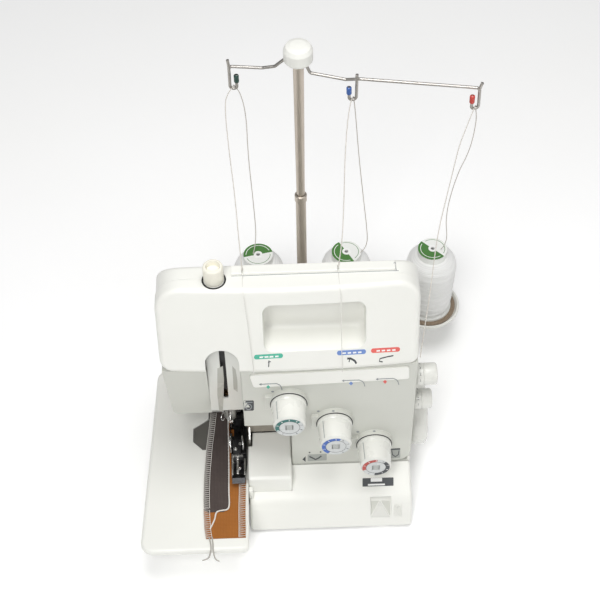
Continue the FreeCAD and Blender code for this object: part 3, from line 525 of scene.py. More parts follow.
def rrect(cx, cy, w, h, r, slope=0.0, n=4):
    out = []
    for sx, sy, a0 in ((1, 1, 0), (-1, 1, 90), (-1, -1, 180), (1, -1, 270)):
        for i in range(n + 1):
            a = math.radians(a0 + 90 * i / n)
            x = sx * (w / 2 - r) + r * cos(a)
            y = sy * (h / 2 - r) + r * sin(a)
            out.append((cx + x, cy + y + x * slope))
    return out


def circle(cx, cy, rx, ry=None, n=20):
    ry = rx if ry is None else ry
    return [(cx + rx * cos(2 * pi * i / n), cy + ry * sin(2 * pi * i / n)) for i in range(n)]


def stroke(pts, w):
    """A line of width w through picture points, as a closed loop."""
    left, right = [], []
    for i, p in enumerate(pts):
        a, b = pts[max(i - 1, 0)], pts[min(i + 1, len(pts) - 1)]
        d = math.dist(a, b) or 1
        nx, ny = -(b[1] - a[1]) / d * w / 2, (b[0] - a[0]) / d * w / 2
        left.append((p[0] + nx, p[1] + ny))
        right.append((p[0] - nx, p[1] - ny))
    return left + right[::-1]


def sector(c, axis, r0, r1, a0, a1, h0, h1, n=40):
    """A flat ring sector round an axis, as a closed thin solid (mm, degrees)."""
    u, v, w = frame_of(axis)
    o = V(*c)
    full = abs(a1 - a0) >= 359.9
    m = n if full else n + 1
    verts, faces = [], []
    for i in range(m):
        a = math.radians(a0 + (a1 - a0) * i / n)
        d = u * cos(a) + v * sin(a)
        for r, h in ((r0, h0), (r1, h0), (r1, h1), (r0, h1)):
            verts.append(o + d * (r * MM) + w * (h * MM))
    for i in range(n):
        j = (i + 1) % m
        for q in range(4):
            p = (q + 1) % 4
            faces.append((i * 4 + q, j * 4 + q, j * 4 + p, i * 4 + p))
    if not full:
        faces += [(0, 1, 2, 3), tuple(4 * (m - 1) + q for q in (3, 2, 1, 0))]
    return verts, faces


def digits(items, depth=0.06):
    """items: (text, size mm, place, right, up): generic numerals as thin solids."""
    parts = []
    for txt, size, pos, rt, upv in items:
        c = bpy.data.curves.new("num", "FONT")
        c.body, c.size, c.align_x, c.align_y, c.extrude = txt, 1.0, "CENTER", "CENTER", 0.5
        c.resolution_u = 3
        o = bpy.data.objects.new("num", c)
        bpy.context.scene.collection.objects.link(o)
        bpy.context.view_layer.update()
        me = bpy.data.meshes.new_from_object(o)
        n = rt.cross(upv)
        s = size * MM
        vv = [pos + rt * (q.co.x * s) + upv * (q.co.y * s) + n * (q.co.z * depth * MM) for q in me.vertices]
        parts.append((vv, [tuple(p.vertices) for p in me.polygons]))
        bpy.data.objects.remove(o)
        bpy.data.curves.remove(c)
        bpy.data.meshes.remove(me)
    return joined(parts)


# ----------------------------------------------------------------- threads
def thread(name, route, node, r, squash=None):
    pts = nurbs([V(*p) for p in route])
    v, f = tube_mesh(pts, r * MM, 8)
    o = add(name, v, f, THREAD_PAINTED_SHADE, "machine", 60)
    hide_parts(node)
    if squash:
        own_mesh(o)
    return o


def kept(top, fixed):
    """Share of a thread's height that is left when its upper guide is 45 mm lower."""
    return (fixed * MM, (top - 45.0 - fixed) / (top - fixed))


thread("spool_thread_left", [(-52, 129, 133.5), (-47.4, 130.2, 150), (-49.0, 132.6, 207), (-51.4, 135.4, 264), (-51.0, 137.6, 312), (-54.6, 139.2, 336), (-59.8, 139.8, 346.0), (-60.9, 137.6, 348.6), (-61.5, 135.8, 347.2)],
       "spool_threads", 0.45, kept(347.2, 133.5))
thread("spool_thread_middle", [(56, 126, 133.5), (63.4, 125.6, 142), (60.5, 123.6, 180), (57.0, 122.3, 213), (51.0, 119.4, 275), (47.0, 117.4, 328), (45.0, 116.5, 347), (44.2, 114.2, 351.8), (43, 112.3, 350.2)],
       "spool_threads", 0.45, kept(350.2, 133.5))
thread("spool_thread_right", [(137, 127, 133.5), (143.4, 126.2, 142), (136.6, 119.5, 190), (141.8, 110.5, 253), (151.0, 105.5, 290), (152.8, 99.8, 332), (149.9, 97.6, 349), (149.0, 95.4, 354.2), (148.1, 93.3, 352.4)],
       "spool_threads", 0.45, kept(352.4, 133.5))
thread("mast_thread_left", [(-61.5, 135.8, 347.2), (-65.6, 131.5, 345.8), (-69.2, 119, 341.8), (-65.4, 71, 326.5), (-61.4, 34, 314.7), (-58.6, -11, 300.3), (-56.5, -33, 293.2)], "mast_threads", 0.45, kept(347.2, 293.2))
thread("mast_thread_middle", [(43, 112.3, 350.2), (39.6, 103, 346.5), (34.4, 62, 330.6), (31.7, 23.4, 315.3), (28.2, -14.7, 300.4), (24, -33, 293.2)], "mast_threads", 0.45, kept(350.2, 293.2))
thread("side_thread", [(148.1, 93.3, 352.4), (142.0, 83, 343), (134.0, 69.7, 330.8), (124.6, 44.3, 307.7), (112.5, 12.5, 278.6), (105.5, -22, 247), (99.2, -47, 225), (94.8, -64, 205)], "side_thread", 0.45, kept(352.4, 205))
thread("front_thread_left", [(-56.5, -37.5, 290.6), (-56.4, -53.6, 290.6), (-55.4, -60, 281), (-52.6, -69.3, 244), (-50.5, -77.8, 206)], "front_threads", 0.3)
thread("front_thread_middle", [(24, -37.5, 290.6), (24.5, -53.8, 290.6), (25, -60, 281.5), (25.2, -69.2, 244), (26, -77.6, 206)], "front_threads", 0.3)


# -------------------------------------------------------------- test cloth
def cloth(name, rows, cols, z0, thick, material, wave):
    """A thin laid cloth; rows are (y, left x, right x) in mm from front to back."""
    ys = []
    for (ya, la, ra), (yb, lb, rb) in zip(rows, rows[1:]):
        m = max(1, int(abs(yb - ya) / 1.6))
        ys += [(ya + (yb - ya) * i / m, la + (lb - la) * i / m, ra + (rb - ra) * i / m) for i in range(m)]
    ys.append(rows[-1])
    top, bot = [], []
    for y, l, r in ys:
        for i in range(cols + 1):
            x = l + (r - l) * i / cols
            z = z0 + wave(x, y)
            bot.append(V(x, y, z))
            top.append(V(x, y, z + thick))
    k, n = cols + 1, len(ys)
    t = len(bot)
    faces = []
    for j in range(n - 1):
        for i in range(cols):
            a, b, c, d = j * k + i, j * k + i + 1, (j + 1) * k + i + 1, (j + 1) * k + i
            faces.append((t + a, t + b, t + c, t + d))
            faces.append((a, d, c, b))
        for i in (0, cols):
            a, d = j * k + i, (j + 1) * k + i
            faces.append((a, d, t + d, t + a))
    for j in (0, n - 1):
        for i in range(cols):
            a, b = j * k + i, j * k + i + 1
            faces.append((a, b, t + b, t + a))
    return add(name, bot + top, faces, material, "machine", 60)


def zig(left, right, y0, y1, pitch, z, r=0.26):
    """Overlock stitches: slanted bights between two edges (functions of y)."""
    pts = []
    y = y0
    while y < y1:
        pts += [V(left(y), y, z), V(right(y), y + pitch * 0.45, z + 0.15), V(left(y + pitch * 0.6), y + pitch * 0.6, z + 0.05)]
        y += pitch
    return tube_mesh(pts, r * MM, 6)


def lerp_rows(rows, col):
    def f(y):
        for a, b in zip(rows, rows[1:]):
            if a[0] <= y <= b[0]:
                t = (y - a[0]) / (b[0] - a[0])
                return a[col] + (b[col] - a[col]) * t
        return rows[0][col] if y < rows[0][0] else rows[-1][col]
    return f


ripple = lambda x, y: 0.10 + 0.08 * sin(x * 0.31 + y * 0.11) + 0.05 * sin(y * 0.37)
OR = [(-150.2, -101.4, -64.8), (-140, -102.9, -64.7), (-122.6, -103.9, -64.8), (-100, -104.1, -64.3), (-86.5, -104.0, -64.0), (-52.7, -102.0, -63.6), (-17.7, -98.7, -63.6), (-9, -98.0, -63.6)]
DK = [(-122.4, -99.5, -85.5), (-119.8, -103.6, -81.2), (-110, -104.0, -80.2), (-100, -104.1, -80.6), (-80, -103.7, -80.5), (-54, -102.1, -80.7), (-27, -99.5, -81.3), (-9, -98.0, -81.5)]
orange = cloth("test_cloth_orange", OR, 24, 55.12, 0.34, CLOTH_O, ripple)
dark = cloth("test_cloth_dark", DK, 16, 55.60, 0.36, CLOTH_D, ripple)
lo_l, lo_r, ld_l, ld_r = lerp_rows(OR, 1), lerp_rows(OR, 2), lerp_rows(DK, 1), lerp_rows(DK, 2)
st = [zig(lambda y: lo_l(y) - 0.3, lambda y: lo_l(y) + 5.6, -149.4, -119, 2.3, 55.86),
      zig(lambda y: ld_l(y) - 0.3, lambda y: ld_l(y) + 5.4, -118, -10, 2.3, 56.26),
      zig(lambda y: lo_r(y) - 6.4, lambda y: lo_r(y) + 0.1, -149.4, -93, 2.4, 55.86)]
for fx, y0, y1, z in ((lambda y: lo_l(y) + 5.6, -149.4, -120, 55.98), (lambda y: ld_l(y) + 5.4, -118, -10, 56.4), (lambda y: lo_r(y) - 6.4, -149.4, -93, 55.98),
                      (lambda y: lo_l(y) - 0.2, -149.4, -120, 55.8), (lambda y: ld_l(y) - 0.2, -118, -10, 56.2), (lambda y: lo_r(y), -149.4, -93, 55.8)):
    st.append(tube_mesh([V(fx(y), y, z) for y in [y0 + (y1 - y0) * i / 40 for i in range(41)]], 0.26 * MM, 6))
sv, sf = joined(st)
stitches = add("test_cloth_stitches", sv, sf, STITCH, "machine", 60)


def chain(name, route, r, seg=8, yarn=None):
    """A sewn thread chain: two yarns twisted round a soft line (mm)."""
    line = nurbs([V(*p) for p in route])
    parts = []
    total = 0.0
    tt = [0.0]
    for a, b in zip(line, line[1:]):
        total += (b - a).length
        tt.append(total)
    for ph in (0, pi):
        pts = []
        for i, p in enumerate(line):
            t = (line[min(i + 1, len(line) - 1)] - line[max(i - 1, 0)]).normalized()
            n1 = t.cross(Vector((0, 0, 1)))
            n1 = n1.normalized() if n1.length > 1e-4 else Vector((1, 0, 0))
            n2 = t.cross(n1)
            a = tt[i] / 0.0026 * 2 * pi + ph
            pts.append(p + (n1 * cos(a) + n2 * sin(a)) * (r * 0.5 * MM))
        parts.append(tube_mesh(pts, r * 0.62 * MM, seg))
    v, f = joined(parts)
    return add(name, v, f, yarn or STITCH, "machine", 60)


# painted shade: a grey copy of the white stitch thread for the chain tails hanging over the front edge
TAIL_PAINTED_SHADE = plastic("tail_yarn_painted_shade", lin("B4B0A9"), 0.85, var=0.12, grain=0.2, bevel=0, spec=0.2)
EDGE = [(ld_r(y) + 0.2, y, 56.5) for y in (-10, -30, -54, -80, -100, -110)]
edge_chain = chain("test_cloth_edge_chain", EDGE + [(-79.9, -115.4, 56.6), (-81.0, -120.8, 56.6), (-88.7, -121.2, 56.6), (-92.4, -122.8, 56.4), (-93.3, -130, 56.1), (-95.5, -135.1, 56.0), (-97.8, -140.4, 56.0)], 0.7)
tail_a = chain("test_cloth_tail_left", [(-98.6, -149, 56.2), (-97.2, -154, 56.0), (-96.6, -160, 56.0), (-97.4, -163.6, 54.0), (-98.6, -164.0, 47), (-101, -164.2, 43), (-105.5, -164.4, 41.6)], 0.62, yarn=TAIL_PAINTED_SHADE)
tail_b = chain("test_cloth_tail_right", [(-95.8, -149, 56.2), (-95.0, -155, 56.0), (-94.8, -161, 55.9), (-94.6, -163.6, 53.4), (-94.0, -164.0, 45), (-92.2, -164.2, 39.6), (-90.0, -164.3, 39.0)], 0.62, yarn=TAIL_PAINTED_SHADE)
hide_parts("test_cloth")
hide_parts("test_cloth")

# ------------------------------------------------------------------ spools
WIND = [(14.0, 4.9), (22.05, 4.9), (23.0, 7), (23.6, 16), (24.0, 26), (24.4, 36), (24.9, 46), (25.3, 56), (25.5, 64), (24.6, 69.5), (21.5, 75), (17.5, 78.6), (15.8, 79.5), (14.2, 79.5)]


def wound(z):
    for (ra, za), (rb, zb) in zip(WIND[1:], WIND[2:]):
        if za <= z <= zb:
            return ra + (rb - ra) * (z - za) / max(zb - za, 1e-6)
    return WIND[-1][0]


for i, x in enumerate((-47, 42, 129)):
    prof = [(13.6, 4.9)]
    z, step = 4.9, 0.33
    k = 0
    while z <= 79.4:
        ridge = 0.26 * (0.5 - 0.5 * cos(2 * pi * z / 1.65)) + 0.22 * sin(z * 1.1 + i) * sin(z * 0.43)
        prof.append(((wound(max(4.9, z - 0.8)) + wound(min(79.4, z + 0.8))) / 2 - 0.12 + ridge * 0.8, z))
        z += step
    prof.append((13.6, 79.4))
    o = lathe("winding_%d" % (i + 1), prof, (x, 129, 45), "Z", WOUND, "machine", 84,
              lambda r, a, h: r + (0.14 * sin(3 * a + h * 0.8) + 0.10 * sin(5 * a - h * 1.3) if r > 16.5 else 0), 80)
    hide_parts("thread_windings")
    # paper label on the cone: half green, half white, with a hub in the middle
    a0 = (12, 118, 135)[i]
    c = (x, 129, 132)
    v, f = sector(c, "Z", 4.3, 14.8, a0, a0 + 180, 0.02, 0.30)
    add("label_green_%d" % (i + 1), v, f, LABEL_G, "machine", 30)
    v, f = sector(c, "Z", 4.3, 14.8, a0 + 180, a0 + 360, 0.02, 0.30)
    add("label_white_%d" % (i + 1), v, f, LABEL_W, "machine", 30)
    v, f = joined([sector(c, "Z", 11.9, 12.5, a0 + 12, a0 + 168, 0.2, 0.36), sector(c, "Z", 2.0, 4.3, 0, 360, -1.5, 0.55)])
    add("label_hub_%d" % (i + 1), v, f, PRINTW, "machine", 30)
    v, f = sector(c, "Z", 11.9, 12.4, a0 + 192, a0 + 348, 0.2, 0.36)
    add("label_line_%d" % (i + 1), v, f, LABEL_G, "machine", 30)

# ------------------------------------------------------- thread guide tips
LW = [V(-57.6, 137, 345), V(-57.8, 137.2, 360.5)]
MW = [V(40.7, 113.5, 348), V(40.4, 113.5, 362.8)]
RW = [V(145.7, 94.4, 350), V(145.6, 94.6, 365.2)]
v, f = joined([tube_mesh([V(*p) for p in q], 1.38 * MM, 14) for q in ([(-63.8, 138, 368.6), (-64.2, 138, 373), (-64.5, 138, 376.7)], [(47.2, 114.4, 370.2), (47.2, 114.2, 373), (47.2, 114, 376)],
                                                                    [(151.7, 97, 370.4), (152.4, 96.5, 374), (153.2, 96, 377.6)])])
add("guide_wire_ends", v, f, WIRE, "mast", 50)
for nm, (a, b), m in (("left", LW, TIP_G), ("middle", MW, TIP_B), ("right", RW, TIP_R)):
    pts, rad = [], []
    for t, r in ((0.46, 1.5), (0.47, 2.0), (0.50, 2.3), (0.60, 2.35), (0.75, 2.3), (0.90, 2.35), (0.96, 2.2), (0.985, 1.7), (1.0, 1.2)):
        pts.append(a + (b - a) * t)
        rad.append(r * MM)
    v, f = tube_mesh(pts, 1.0, 20)
    d = (b - a).normalized()
    for i, p in enumerate(pts):
        for k in range(20):
            q = v[i * 20 + k] - p
            v[i * 20 + k] = p + (q - d * q.dot(d)).normalized() * rad[i]
    o = add("guide_tip_" + nm, v, f, m, "mast", 50)
    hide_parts("guide_tips")

# -------------------------------------------------------------- dials, wheel
ribs = lambda n, depth, lo: (lambda r, a, h: r - (depth * (0.5 + 0.5 * cos(n * a)) if r >= lo else 0))
o = lathe("pressure_dial_cap", [(0, 0), (8.0, 0), (8.6, 0.8), (8.6, 15.7), (8.2, 17.0), (7.4, 17.5), (6.2, 17.5), (5.8, 17.0), (5.6, 12.0), (0, 12.0)], (-80.5, -40, 290.3), "Z",
          CREAM, "pressure_dial", 288, ribs(48, 0.34, 8.15), 50)
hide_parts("pressure_dial")
# black ring round the foot of the pressure dial: painted shade in the gap between dial and casing
v, f = joined([sector((-80.5, -40, 290), "Z", 8.75, 10.3, 0, 360, -0.2, 0.10, 60)])
add("pressure_dial_shade_ring", v, f, BLACK, "machine", 30)

side = [("stitch_length", 162.0, 10.3, 20.5, "4321R"), ("differential", 124.5, 9.5, 18.0, "2101N")]
for nm, z, r, ln, txt in side:
    o = lathe(nm + "_knob", [(0, -14), (3, -14), (3, 0.5), (r - 1.6, 0.5), (r - 0.4, 1.2), (r, 2.2), (r, 7.6), (r - 0.5, 8.0), (r - 0.5, 8.3), (r, 8.7), (r, ln - 2.0), (r - 0.4, ln - 0.9), (r - 1.4, ln - 0.1), (r - 2.2, ln),
                             (r - 3.4, ln - 0.5), (0, ln - 0.5)], (93, -50, z), "X", DIAL, nm + "_dial", 240,
              lambda q, a, h, r=r, ln=ln: q - (0.10 * (0.5 + 0.5 * cos(40 * a)) if q >= r - 0.05 and h > 8.5 else 0), 45)
    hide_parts(nm + "_dial")
    items = []
    for k, ch in enumerate(txt):
        if not ch.isdigit():
            continue
        a = math.radians(60 + k * 34)
        out = Vector((0, cos(a), sin(a)))
        tan = Vector((0, -sin(a), cos(a)))
        items.append((ch, 3.4, V(93 + 4.8, -50, z) + out * ((r + 0.02) * MM), Vector((1, 0, 0)), Vector((1, 0, 0)).cross(tan).cross(Vector((1, 0, 0))) * 1.0))
    items = [(t, s, p, Vector((1, 0, 0)), q if Vector((1, 0, 0)).cross(q).dot(p - V(93 + 4.8, -50, z)) > 0 else -q) for t, s, p, _, q in items]
    v, f = digits(items)
    add(nm + "_numbers", v, f, INK, nm + "_dial", 30, smooth=False)

o = lathe("handwheel_rim", [(5, 0), (26, 0), (29.6, 0.9), (31.4, 2.4), (32, 4.6), (32, 13.4), (31.3, 15.4), (29.6, 17.0), (27.4, 17.9), (25.4, 17.8), (23.6, 16.6), (22.6, 15.2), (14, 14.8), (12, 15.2), (10.6, 17.2), (9.6, 18.4), (8.2, 18.6), (5, 18.6)],
          (93.5, -20, 62), "X", DIAL, "drive", 360, ribs(72, 0.08, 31.2), 50)
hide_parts("handwheel")

KNOBS = (("needle_tension", -21.4, 156.0, TEAL_D, 40, 205), ("upper_looper_tension", 19.9, 123.5, BLUE_D, 70, 235), ("lower_looper_tension", 57.2, 86.5, RED_D, 85, 200))
for nm, x, z, colour, a0, a1 in KNOBS:
    body = nm + "_dial"
    c = (x, -99.4, z)
    v, f = sector(c, "-Y", 0.0, 12.9, 0, 360, -0.1, 0.10, 72)
    add(nm + "_face", v, f, SILVER, body, 30)
    v, f = sector(c, "-Y", 9.4, 12.7, a0, a1, 0.0, 0.20, 50)
    add(nm + "_ring", v, f, colour, body, 30)
    dark = [sector(c, "-Y", 9.0, 9.35, 0, 360, 0.0, 0.16, 60)]
    if nm.startswith("lower"):
        dark.append(sector(c, "-Y", 9.4, 12.7, -95, 45, 0.0, 0.20, 40))
    v, f = joined(dark)
    add(nm + "_band", v, f, INK, body, 30)
    hatch = []
    for k in range(4):
        zz = z + 2.9 - k * 1.9
        hatch.append(box_mesh(x - 3.6, x + 3.4, -99.62, -99.4, zz - 0.55, zz + 0.55))
    for k in range(2):
        hatch.append(box_mesh(x - 3.6 + k * 6.1, x - 2.7 + k * 6.1, -99.62, -99.4, z - 3.3, z + 3.4))
    v, f = joined(hatch)
    add(nm + "_hatch", v, f, PLATE_G, body, 30, smooth=False)
    light, ink = [], []
    for k in range(9):
        g = 236 - k * 36.5
        a = math.radians(g)
        d = Vector((cos(a), 0, sin(a)))
        on = a0 < g % 360 < a1 or (nm.startswith("lower") and not 50 < g % 360 < 260)
        (light if on else ink).append((str(k + 1), 2.9, V(x, -99.4 - (0.22 if on else 0.12), z) + d * (11.0 * MM), d.cross(Vector((0, -1, 0))), d))
    for suffix, items, m in (("_numbers", light, PRINTW), ("_numbers_dark", ink, INK)):
        if items:
            v, f = digits(items)
            add(nm + suffix, v, f, m, body, 30, smooth=False)
    # black ring: painted shade in the gap between knob and collar; one thin grey line along the side: painted shade of
    # a faint groove
    v, f = sector((x, -74.0, z), "-Y", 9.0, 16.85, 0, 360, 0.03, 0.36, 90)
    add(nm + "_shade_ring", v, f, BLACK, "machine", 30)
    # thin grey strip along the knob side: painted shade of a groove
    u, vv, w = frame_of("-Y")
    a = math.radians(134)
    d = u * cos(a) + vv * sin(a)
    t = -u * sin(a) + vv * cos(a)
    p0, p1 = V(x, -78.6, z) + d * (15.86 * MM), V(x, -96.8, z) + d * (14.92 * MM)
    v, f = flat_shape([p0 + t * 0.0002, p1 + t * 0.0002, p1 - t * 0.0002, p0 - t * 0.0002], [d] * 4, 0.0003)
    add(nm + "_line", v, f, INK_L, body, 30, smooth=False)

# ----------------------------------------------- printed marks on the casing
COVER = ["front_cover"]
for nm, cx, cy, w, m in (("teal", 268.5, 356.4, 29, TEAL), ("blue", 351.5, 352.3, 29, BLUE), ("red", 385.5, 350.0, 29, RED)):
    decal("guide_mark_" + nm, COVER, [rrect(cx, cy, w, 4.6, 2.2, -0.055)], m, "machine")
    decal("guide_mark_lines_" + nm, COVER, [stroke([(cx - 9 + k * 5.2, cy + 0.5 - (k * 5.2 - 9) * 0.055), (cx - 5.6 + k * 5.2, cy + 0.3 - (k * 5.2 - 5.6) * 0.055)], 1.5) for k in range(4)], PRINTW, "machine", 0.12)
decal("guide_icon_needle", COVER, [stroke([(269.0, 360.5), (268.6, 367)], 1.0), stroke([(268.0, 362.2), (270.8, 361.6)], 0.8)], INK, "machine")
decal("guide_icon_upper", COVER, [stroke([(347.2, 358.6), (350.5, 358.4), (354.6, 360.6), (356.4, 363.6)], 2.0), stroke([(350, 359), (349, 362)], 1.0)], INK, "machine")
decal("guide_icon_lower", COVER, [stroke([(393.4, 355.6), (388, 356.6), (380, 358.6), (379.4, 361.4), (382.6, 361.8)], 1.2)], INK, "machine")

PLATE = ["tension_guide_plate"]
for nm, x0, y0, m in (("teal", 259.6, 384.4, TEAL), ("blue", 342.4, 380.8, BLUE), ("red", 376.4, 379.2, RED)):
    decal("plate_arrow_" + nm, PLATE, [stroke([(x0, y0), (x0 + 8, y0 - 0.5), (x0 + 17, y0 - 0.8), (x0 + 20.2, y0 + 0.6), (x0 + 21.8, y0 + 3.0), (x0 + 22.4, y0 + 5.6)], 0.8),
                                       [(x0 - 0.8, y0), (x0 + 1.8, y0 - 1.3), (x0 + 1.8, y0 + 1.2)]], INK_L, "machine")
    decal("plate_diamond_" + nm, PLATE, [[(x0 + 8.6, y0 + 0.6), (x0 + 10.6, y0 + 2.6), (x0 + 8.6, y0 + 4.6), (x0 + 6.6, y0 + 2.6)]], m, "machine")

DPANEL = ["dial_panel"]
decal("panel_square", DPANEL, [rrect(248.6, 405.6, 10.6, 10.2, 1.2, -0.03)], INK, "machine")
ringpx = circle(248.6, 406.8, 2.9, 2.7)
decal("panel_square_ring", DPANEL, [stroke(ringpx + ringpx[:1], 0.9), stroke([(244.8, 402.6), (252.6, 402.2)], 0.9)], INK_L, "machine", 0.12)
decal("panel_plates", DPANEL, [rrect(395.4, 453.2, 9.6, 9.4, 0.8, -0.05), rrect(317.2, 457.4, 19, 6.6, 0.7, -0.05)], PLATE_G, "machine")
decal("panel_icon", DPANEL, [stroke([(390.8, 449.4), (400.2, 448.8)], 1.5), stroke([(391.8, 450.4), (392.4, 454.6), (395.4, 456.6), (398.4, 454.4), (399.0, 450.4)], 0.9)], INK, "machine", 0.12)
decal("panel_icon_low", DPANEL, [stroke([(309.4, 456.4), (312.4, 457.8), (315.4, 459.4), (318.6, 458.0), (321.4, 455.8)], 1.3), [(302.4, 459.4), (305.6, 456.2), (305.6, 461.6)],
                                 circle(309.6, 452.4, 0.9, 0.6), circle(320.6, 452.0, 0.9, 0.6)], INK, "machine", 0.12)
# grey dots where the collar tabs have small holes: painted shade of the holes
decal("collar_hole_shades", DPANEL, [circle(px, py, 1.5, 0.75) for px, py in ((318.3, 411.2), (333.3, 411.0), (357.8, 431.8), (374.2, 431.2), (272.6, 391.6))], INK_L, "machine")
LOOPC = ["looper_cover"]
decal("cover_badge", LOOPC, [rrect(378.0, 482.0, 31, 8.4, 0.6, -0.03)], INK, "looper_cover")
decal("cover_badge_blank", LOOPC, [rrect(376.4, 479.8, 11.4, 3.6, 0.5, -0.03), rrect(376.4, 484.6, 17, 1.7, 0.4, -0.03)], PRINTW, "looper_cover", 0.12)
decal("cover_grip_ribs", LOOPC, [stroke([(394.0 + k * 1.75, 504.2), (394.6 + k * 1.75, 516.0)], 0.7) for k in range(5)], WHITE, "looper_cover", 0.45)

decal("top_strip_lines", ["thread_guide_strip", "front_cover", "rear_shell"], [stroke([(231, 276.2), (265, 275.0), (300, 273.8), (350, 272.2), (398.6, 270.6)], 0.6), stroke([(394.9, 263.4), (395.6, 267), (396.4, 270.4)], 0.7),
                                                                       circle(394.8, 263.0, 1.2, 0.8)], INK_L, "machine")
WIN = ["needle_window"]
# darker patches left and right of the needle slot: painted shade on the curved window
decal("window_painted_shade", WIN, [[(217.4, 368.5), (222.8, 366.0), (224.0, 380), (223.6, 396), (222.8, 411), (219.2, 411), (217.4, 395)], [(232.2, 366), (235.6, 369.6), (237.4, 380), (237.6, 392), (233.6, 389)]], WINDOW_PAINTED_SHADE, "machine")
decal("window_rib", WIN, [stroke([(223.4, 367.0), (223.8, 378), (223.9, 389)], 1.0)], DIAL, "machine", 0.3)

# a black plate (slot_shade, below) is painted shade for the dark space behind the needle slot
# side walls that close the casing beside the looper cover and under the bed
v, f = box_mesh(90.4, 92.7, -67.9, -38.1, 11, 55.2, 0.5)
add("side_wall_right", v, f, WHITE, "machine", 30, smooth=False)
SIDE = [(-146.6, 48.0), (-146.6, 43.0), (-113.5, 10.8), (-92.0, 10.8), (-92.0, 48.0)]
v = [V(x, y, z) for x in (-64.6, -63.4) for y, z in SIDE]
f = [(0, 1, 2, 3, 4), (9, 8, 7, 6, 5)] + [(i, i + 5, (i + 1) % 5 + 5, (i + 1) % 5) for i in range(5)]
add("side_wall_bed", v, f, WHITE, "machine", 30, smooth=False)
# painted shade: the wall inside the head under the arm is grey-brown for the shade it stands in, not casing white
v, f = box_mesh(-61.6, -21.0, -37.8, -37.3, 62, 115.5)
add("inner_wall", v, f, plastic("inner_wall_painted_shade", lin("B2AB9F"), 0.6, var=0.05, grain=0.1, bevel=0), "machine", 30, smooth=False)
# black plate: painted shade behind the needle slot
v, f = box_mesh(-82, -70, -57.6, -57.0, 160, 226)
add("slot_shade", v, f, BLACK, "machine", 30, smooth=False)
v, f = box_mesh(-20.2, 91.5, -68.8, -62, 48.6, 50.25)
add("panel_seam", v, f, PANEL_PAINTED_SHADE, "machine", 30, smooth=False)
v, f = box_mesh(-61.8, -57.9, -97.2, -92.0, 34, 50, 0.6)
add("cover_lug", v, f, WHITE, "looper_cover", 30)
# thumb grip recess: a lighter triangle on its floor is painted light, darker sheets on its sides are painted shade
decal("grip_floor_painted_light", LOOPC, [[(380.0, 500.6), (389.8, 517.0), (371.2, 517.0)]], DIAL, "looper_cover", 0.12)
decal("grip_sides_painted_shade", LOOPC, [[(371.4, 501.0), (379.0, 500.6), (370.8, 515.6)], [(381.0, 500.6), (389.6, 500.8), (390.0, 515.6)]], PANEL_PAINTED_SHADE, "looper_cover", 0.08)

# ------------------------------------------- presser foot, clamp and screws
def screw(pos, axis, r, h):
    return [(0, -0.4), (r, -0.4), (r, h - 0.4), (r - 0.4, h), (r * 0.3, h), (r * 0.3, h - 0.5), (0, h - 0.5)], pos, axis


for i, ((prof, pos, axis), m, body) in enumerate((
        (screw((-73.6, -60, 66), "Z", 1.9, 1.1), CHROME, "presser"), (screw((-69.0, -54, 66), "Z", 1.6, 0.9), STEEL, "presser"), (screw((-70.0, -78.4, 60.9), "Z", 1.7, 0.8), CHROME, "presser"),
        (screw((-74.8, -71.6, 60.2), "Z", 1.2, 0.5), BLACK, "presser"), (screw((-71, -20, 76), "-Y", 3.2, 2.4), STEEL, "presser"), (screw((-77, -42, 92), "-Y", 2.7, 4.2), CHROME, "needle_bar"))):
    lathe("screw_head_%d" % (i + 1), prof, pos, axis, m, body, 40)
lathe("needle_bar_collar", [(3.5, 0), (4.7, 0), (5.0, 0.4), (5.0, 6.2), (4.6, 6.8), (3.5, 6.8)], (-77, -36, 105.4), "Z", STEEL, "needle_bar", 48)
rail = [box_mesh(-79.0, -77.2, -60, -38, 60, 61.3, 0.3), box_mesh(-77.4, -75.8, -89, -62, 60, 61.2, 0.3), box_mesh(-65.8, -64.2, -89, -67, 60, 61.2, 0.3), box_mesh(-76.4, -65.2, -90, -86.6, 60, 61.3, 0.3),
        box_mesh(-72.8, -70.6, -84.5, -66, 59.9, 60.7, 0.2), box_mesh(-76.0, -66.5, -66.0, -63.6, 60, 63.0, 0.3)]
v, f = joined(rail)
add("foot_rails", v, f, STEEL, "presser", 30)
v, f = joined([box_mesh(-76.0, -68.6, -63.6, -49, 60, 66, 0.6), box_mesh(-75.0, -66.6, -29.5, -20.2, 60, 71, 0.8)])
add("foot_block", v, f, BLACK, "presser", 30)
v, f = joined([tube_mesh(nurbs([V(*q) for q in w]), r * MM, 10) for w, r in (([(-78.2, -57, 60.8), (-79.0, -52, 65), (-78.8, -47, 67), (-78.4, -45, 66.4)], 0.7), ([(-66.8, -63, 60.6), (-66.2, -58, 67.4), (-66.6, -52, 70.4), (-67.2, -47, 68.6)], 0.8))])
add("foot_fingers", v, f, CHROME, "presser", 60)
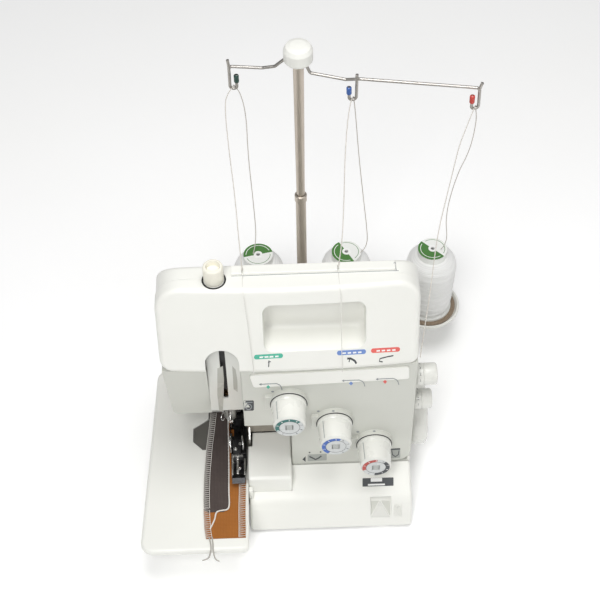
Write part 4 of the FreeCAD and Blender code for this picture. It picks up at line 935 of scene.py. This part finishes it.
v, f = tube_mesh(nurbs([V(*q) for q in ((-82.6, -38, 98), (-85.0, -42, 98.4), (-85.6, -45.6, 96), (-83.6, -46.4, 94), (-82.4, -44, 95))]), 0.55 * MM, 8)
add("needle_thread_guide", v, f, CHROME, "needle_bar", 60)

# the two front threads take the paler painted-shade copy of the thread
for n in ("front_thread_left", "front_thread_middle"):
    bpy.data.objects[n].data.materials[0] = THREAD_PAINTED_LIGHTER_SHADE

# -------------------------------------------------------------- floor, light
fm = Mat("floor_white")
fm.ln(fm.mix(fm.span(fm.noise(3, 3), 0, 1), lin("FDFDFC"), lin("FFFFFF")), fm.b.inputs["Base Color"])
fm.b.inputs["Roughness"].default_value = 0.9
fm.b.inputs["Emission Color"].default_value = (1, 1, 1, 1)
fm.b.inputs["Emission Strength"].default_value = 0.1
fm.b.inputs["Specular IOR Level"].default_value = 0.1
me = bpy.data.meshes.new("floor")
me.from_pydata([(-6, -6, 0), (6, -6, 0), (6, 6, 0), (-6, 6, 0)], [], [(0, 1, 2, 3)])
me.materials.append(fm.m)
floor = bpy.data.objects.new("floor", me)
bpy.context.scene.collection.objects.link(floor)

w = bpy.data.worlds.new("studio")
w.use_nodes = True
w.node_tree.nodes["Background"].inputs["Color"].default_value = (1, 1, 1, 1)
w.node_tree.nodes["Background"].inputs["Strength"].default_value = 0.23
bpy.context.scene.world = w


def lamp(name, loc, target, size, power):
    l = bpy.data.lights.new(name, "AREA")
    l.shape = "DISK"
    l.size, l.energy = size, power
    o = bpy.data.objects.new(name, l)
    bpy.context.scene.collection.objects.link(o)
    o.location = loc
    o.rotation_mode = "QUATERNION"
    o.rotation_quaternion = (Vector(target) - Vector(loc)).to_track_quat("-Z", "Y")


lamp("top_light", (0.1, -0.10, 2.0), (0, 0, 0.1), 1.1, 18)
lamp("key_light", (-0.35, -1.15, 1.7), (0, 0, 0.15), 0.7, 16.5)
lamp("fill_light", (1.5, -0.8, 1.0), (0, 0, 0.15), 1.2, 4)
bpy.context.scene.view_settings.view_transform = "Standard"
bpy.context.scene.view_settings.look = "None"
